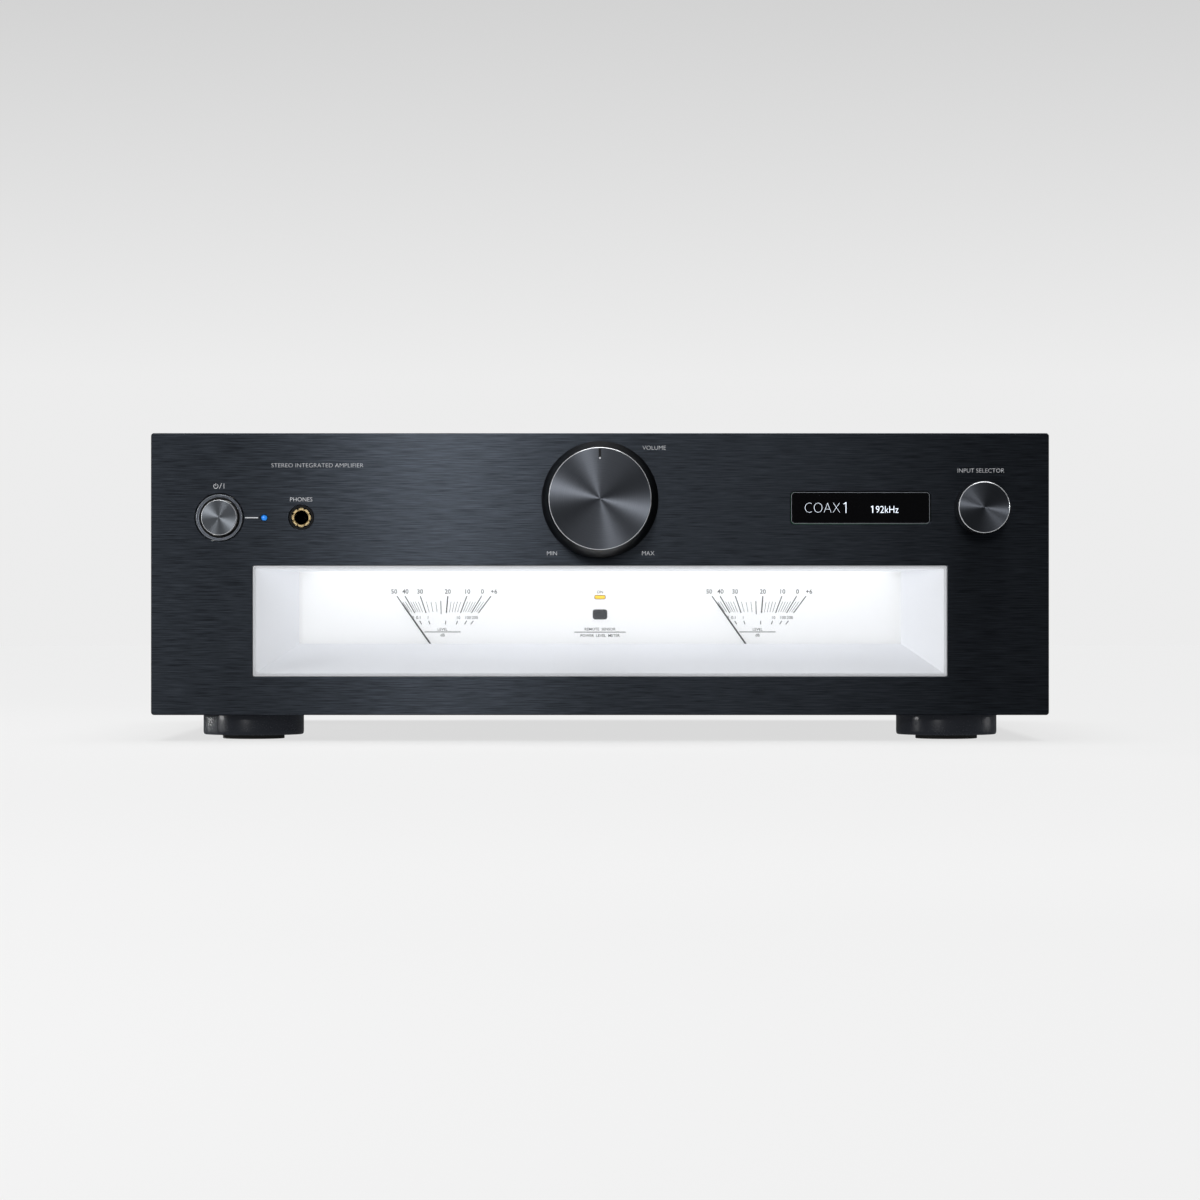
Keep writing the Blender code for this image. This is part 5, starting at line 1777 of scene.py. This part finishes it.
@dataclass
class Inside:
    """The boards, the transformer, the capacitors and the heat sink."""

    board_top: float = 0.0234
    can_pitch: Point = (0.030, 0.050)
    supply_pitch: float = 0.018

    def build(self) -> None:
        """Dress the inner parts and add the larger components."""
        transformer = Span.of("toroidal_transformer")
        centre = (transformer.centre.x, transformer.centre.y)
        copper = WoundRing("wound_copper", (0.42, 0.17, 0.05), 0.35, 0.6, centre=centre)
        dress("toroidal_transformer", copper)
        dress("transformer_clamp", PLATED)
        for node in ("front_board", "input_board", "power_supply_board", "amplifier_board"):
            dress(node, BOARD)
        dress("heat_sink", SINK)
        dress("ribbon_cable", RIBBON)
        for side in ("left", "right"):
            self.make_can(side)
        self.add_components()

    def make_can(self, side: str) -> None:
        """Make one reservoir capacitor with its bare top."""
        can = Span.of(f"reservoir_capacitor_{side}")
        radius = can.size.x / 2
        at = (can.centre.x, can.centre.y, 0.0)
        sleeve = (
            (radius * 0.84, can.high.z, 0.0003), (radius, can.high.z - 0.0006, 0.0008),
            (radius, can.low.z + 0.0045, 0.0008), (radius - 0.0012, can.low.z + 0.0032, 0.0006),
            (radius, can.low.z + 0.0018, 0.0008), (radius, can.low.z, 0.0003), (radius * 0.84, can.low.z),
        )
        made = lathe(f"can_sleeve_{side}", sleeve, at, Facing.UP, closed=True, steps=72)
        fit(made, SLEEVE, replaces=[f"reservoir_capacitor_{side}"])
        top = radius * 0.83
        lid = ((0.0, can.high.z - 0.0006), (top, can.high.z - 0.0006), (top, can.low.z), (0.0, can.low.z))
        fit(lathe(f"can_top_{side}", lid, at, Facing.UP, steps=72), CAN_TOP)

    def add_components(self) -> None:
        """Stand capacitors on the boards."""
        board = Span.of("amplifier_board")
        for column in range(4):
            for row in range(3):
                x = board.low.x + 0.022 + column * self.can_pitch[0]
                y = board.low.y + 0.025 + row * self.can_pitch[1]
                self.small_can(f"board_can_{column}_{row}", (x, y, self.board_top), 0.0050, 0.012)
        supply = Span.of("power_supply_board")
        y = supply.high.y - 0.018
        for index in range(5):
            x = supply.low.x + 0.018 + index * self.supply_pitch
            self.small_can(f"supply_can_{index}", (x, y, self.board_top), 0.0060, 0.018)

    def small_can(self, name: str, place: Sequence[float], radius: float, height: float) -> None:
        """Stand a small capacitor on a board."""
        body = ((0.0, height - 0.0002), (radius * 0.8, height - 0.0002), (radius * 0.84, height, 0.0002))
        body += ((radius, height - 0.0006, 0.0004), (radius, 0.0), (0.0, 0.0))
        fit(lathe(name, body, place, Facing.UP, steps=32), SLEEVE)


# The studio


@dataclass(frozen=True)
class Lamp:
    """A soft lamp: its place, what it points at, its width and height, its watts and its beam."""

    name: str
    place: tuple[float, float, float]
    target: tuple[float, float, float]
    size: Point
    power: float
    spread: float = 180.0

    def hang(self) -> None:
        """Hang the lamp, turned to its target."""
        lamp = bpy.data.lights.new(self.name, "AREA")
        lamp.shape = "RECTANGLE"
        lamp.size, lamp.size_y = self.size
        lamp.energy = self.power
        lamp.spread = math.radians(self.spread)
        holder = bpy.data.objects.new(self.name, lamp)
        bpy.context.scene.collection.objects.link(holder)
        holder.location = self.place
        look = Vector(self.target) - Vector(self.place)
        holder.rotation_euler = look.to_track_quat("-Z", "Y").to_euler()
        holder.visible_camera = False


@dataclass
class Studio:
    """A pale floor, a pale backdrop, soft lamps and the camera."""

    eye_height: float = 0.0673
    eye_distance: float = 2.25
    frame_width: float = 0.5746
    sensor: float = 36.0
    radius: float = 4.6
    wall: float = 3.6
    steps: int = 96
    floor_glow: float = 0.690
    floor_paint: float = 0.17
    room_light: float = 0.07
    sun_power: float = 2.8
    sun_width: float = 50.0
    sun_tilt: float = -12.0
    lamps: Sequence[Lamp] = (
        Lamp("key_lamp", (-0.119, -1.40, 0.56), (-0.082, -0.19, 0.25), (0.05, 0.30), 0.088, 42.0),
        Lamp("right_key", (0.10, -1.40, 0.36), (0.07, -0.19, 0.10), (0.20, 0.16), 0.28),
        Lamp("left_strip", (-0.66, -2.00, 0.33), (0.0, -0.21, 0.11), (0.24, 0.05), 4.6),
        Lamp("left_fill", (-2.30, -0.75, 0.45), (-0.17, -0.15, 0.01), (0.50, 0.90), 14.0),
        Lamp("left_rim", (-2.20, 0.75, 0.30), (-0.18, -0.15, 0.06), (0.30, 0.30), 1.6, 40.0),
        Lamp("right_rim", (2.20, 0.35, 0.30), (0.18, -0.15, 0.06), (0.30, 0.30), 0.5, 40.0),
    )

    def build(self) -> None:
        """Set up the studio."""
        scene = bpy.context.scene
        scene.view_settings.view_transform = "Standard"
        self.make_camera(scene)
        self.make_floor()
        self.make_backdrop()
        self.make_world(scene)
        self.hang_lamps()

    def make_camera(self, scene: bpy.types.Scene) -> None:
        """Stand the camera straight in front, level, at the height of the lower panel."""
        data = bpy.data.cameras.new("camera")
        data.sensor_width = self.sensor
        data.lens = data.sensor_width * self.eye_distance / self.frame_width
        data.clip_end = 30.0
        holder = bpy.data.objects.new("camera", data)
        scene.collection.objects.link(holder)
        front = Span.of("front_panel").low.y
        holder.location = (0.0, front - self.eye_distance, self.eye_height)
        holder.rotation_euler = (math.radians(90), 0.0, 0.0)
        scene.camera = holder

    def make_floor(self) -> None:
        """Lay the floor as a wide pale disc that partly glows, as an underlit table does."""
        work = bmesh.new()
        bmesh.ops.create_circle(work, cap_ends=True, segments=self.steps, radius=self.radius)
        floor = mesh_piece("studio_floor", work)
        graph = Graph("floor_glow")
        inputs = graph.shader.inputs
        inputs["Roughness"].default_value = 0.9
        inputs["Specular IOR Level"].default_value = 0.0
        inputs["Base Color"].default_value = (self.floor_paint, self.floor_paint, self.floor_paint, 1.0)
        inputs["Emission Color"].default_value = (1.0, 1.0, 1.0, 1.0)
        inputs["Emission Strength"].default_value = self.floor_glow
        floor.data.materials.append(graph.material)
        floor.visible_glossy = False
        floor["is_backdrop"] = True

    def make_backdrop(self) -> None:
        """Stand a round backdrop that darkens a little with height and lights nothing."""
        work = bmesh.new()
        circle = round_outline((0.0, 0.0), self.radius, self.steps)
        lower, upper = ([work.verts.new((x, y, z)) for x, y in circle] for z in (0.0, self.wall))
        for step in range(self.steps):
            after = (step + 1) % self.steps
            work.faces.new((lower[step], lower[after], upper[after], upper[step]))
        wall = mesh_piece("studio_backdrop", work)
        graph = Graph("backdrop")
        height = graph.node("ShaderNodeSeparateXYZ")
        graph.put(height.inputs[0], graph.place((1, 1, 1)))
        tone = graph.spread(height.outputs["Z"], 0.845, 0.640, 0.40, 1.00)
        inputs = graph.shader.inputs
        inputs["Base Color"].default_value = (0.0, 0.0, 0.0, 1.0)
        inputs["Specular IOR Level"].default_value = 0.0
        inputs["Emission Color"].default_value = (1.0, 1.0, 1.0, 1.0)
        graph.put(inputs["Emission Strength"], tone)
        wall.data.materials.append(graph.material)
        for path in ("visible_diffuse", "visible_glossy", "visible_transmission", "visible_shadow"):
            setattr(wall, path, False)
        wall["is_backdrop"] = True

    def make_world(self, scene: bpy.types.Scene) -> None:
        """Fill the room with a dim even light."""
        world = bpy.data.worlds.new("room")
        world.use_nodes = True
        background = world.node_tree.nodes["Background"]
        background.inputs["Color"].default_value = (0.95, 0.97, 1.0, 1.0)
        background.inputs["Strength"].default_value = self.room_light
        scene.world = world

    def hang_lamps(self) -> None:
        """Hang the lamps and a broad overhead light."""
        for lamp in self.lamps:
            lamp.hang()
        sun = bpy.data.lights.new("overhead_light", "SUN")
        sun.energy = self.sun_power
        sun.angle = math.radians(self.sun_width)
        holder = bpy.data.objects.new("overhead_light", sun)
        bpy.context.scene.collection.objects.link(holder)
        holder.rotation_euler = (math.radians(self.sun_tilt), 0.0, 0.0)


def clear_scene() -> None:
    """Remove the objects that the file starts with."""
    for obj in list(bpy.data.objects):
        bpy.data.objects.remove(obj, do_unlink=True)


def corners(box: Sequence[Vector]) -> list[list[float]]:
    """Write a box's two corners as plain numbers."""
    return [[round(value, 6) for value in corner] for corner in box]


def main(cad_box: Sequence[Vector]) -> None:
    """Build every sub-assembly.

    Args:
        cad_box: The frame's whole box, read before anything was added; not used.
    """
    Studio().build()
    FrontPanel().build()
    MeterBay().build()
    TurnedKnob(
        "volume_knob", "volume_rotor", "volume_shaft", "volume_control",
        (
            (0.0243, 1.0, 0.0002), (0.0250, 0.80, 0.003), (0.0262, 0.36, 0.004), (0.0278, 0.07, 0.001),
            (0.0280, 0.0, 0.0002),
        ),
        notch=(0.0012, 0.0057),
    ).build()
    TurnedKnob(
        "input_knob", "input_rotor", "input_shaft", "input_encoder",
        ((0.01215, 1.0, 0.0001), (0.01255, 0.98, 0.0003), (0.01255, 0.0, 0.0003)),
    ).build()
    PowerButton().build()
    PhonesJack().build()
    Display().build()
    Feet().build()
    Case().build()
    RearPanel().build()
    Inside().build()


if __name__ == "__main__":
    logging.basicConfig(level=logging.INFO, format="%(message)s")
    clear_scene()
    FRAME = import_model()
    main(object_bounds())
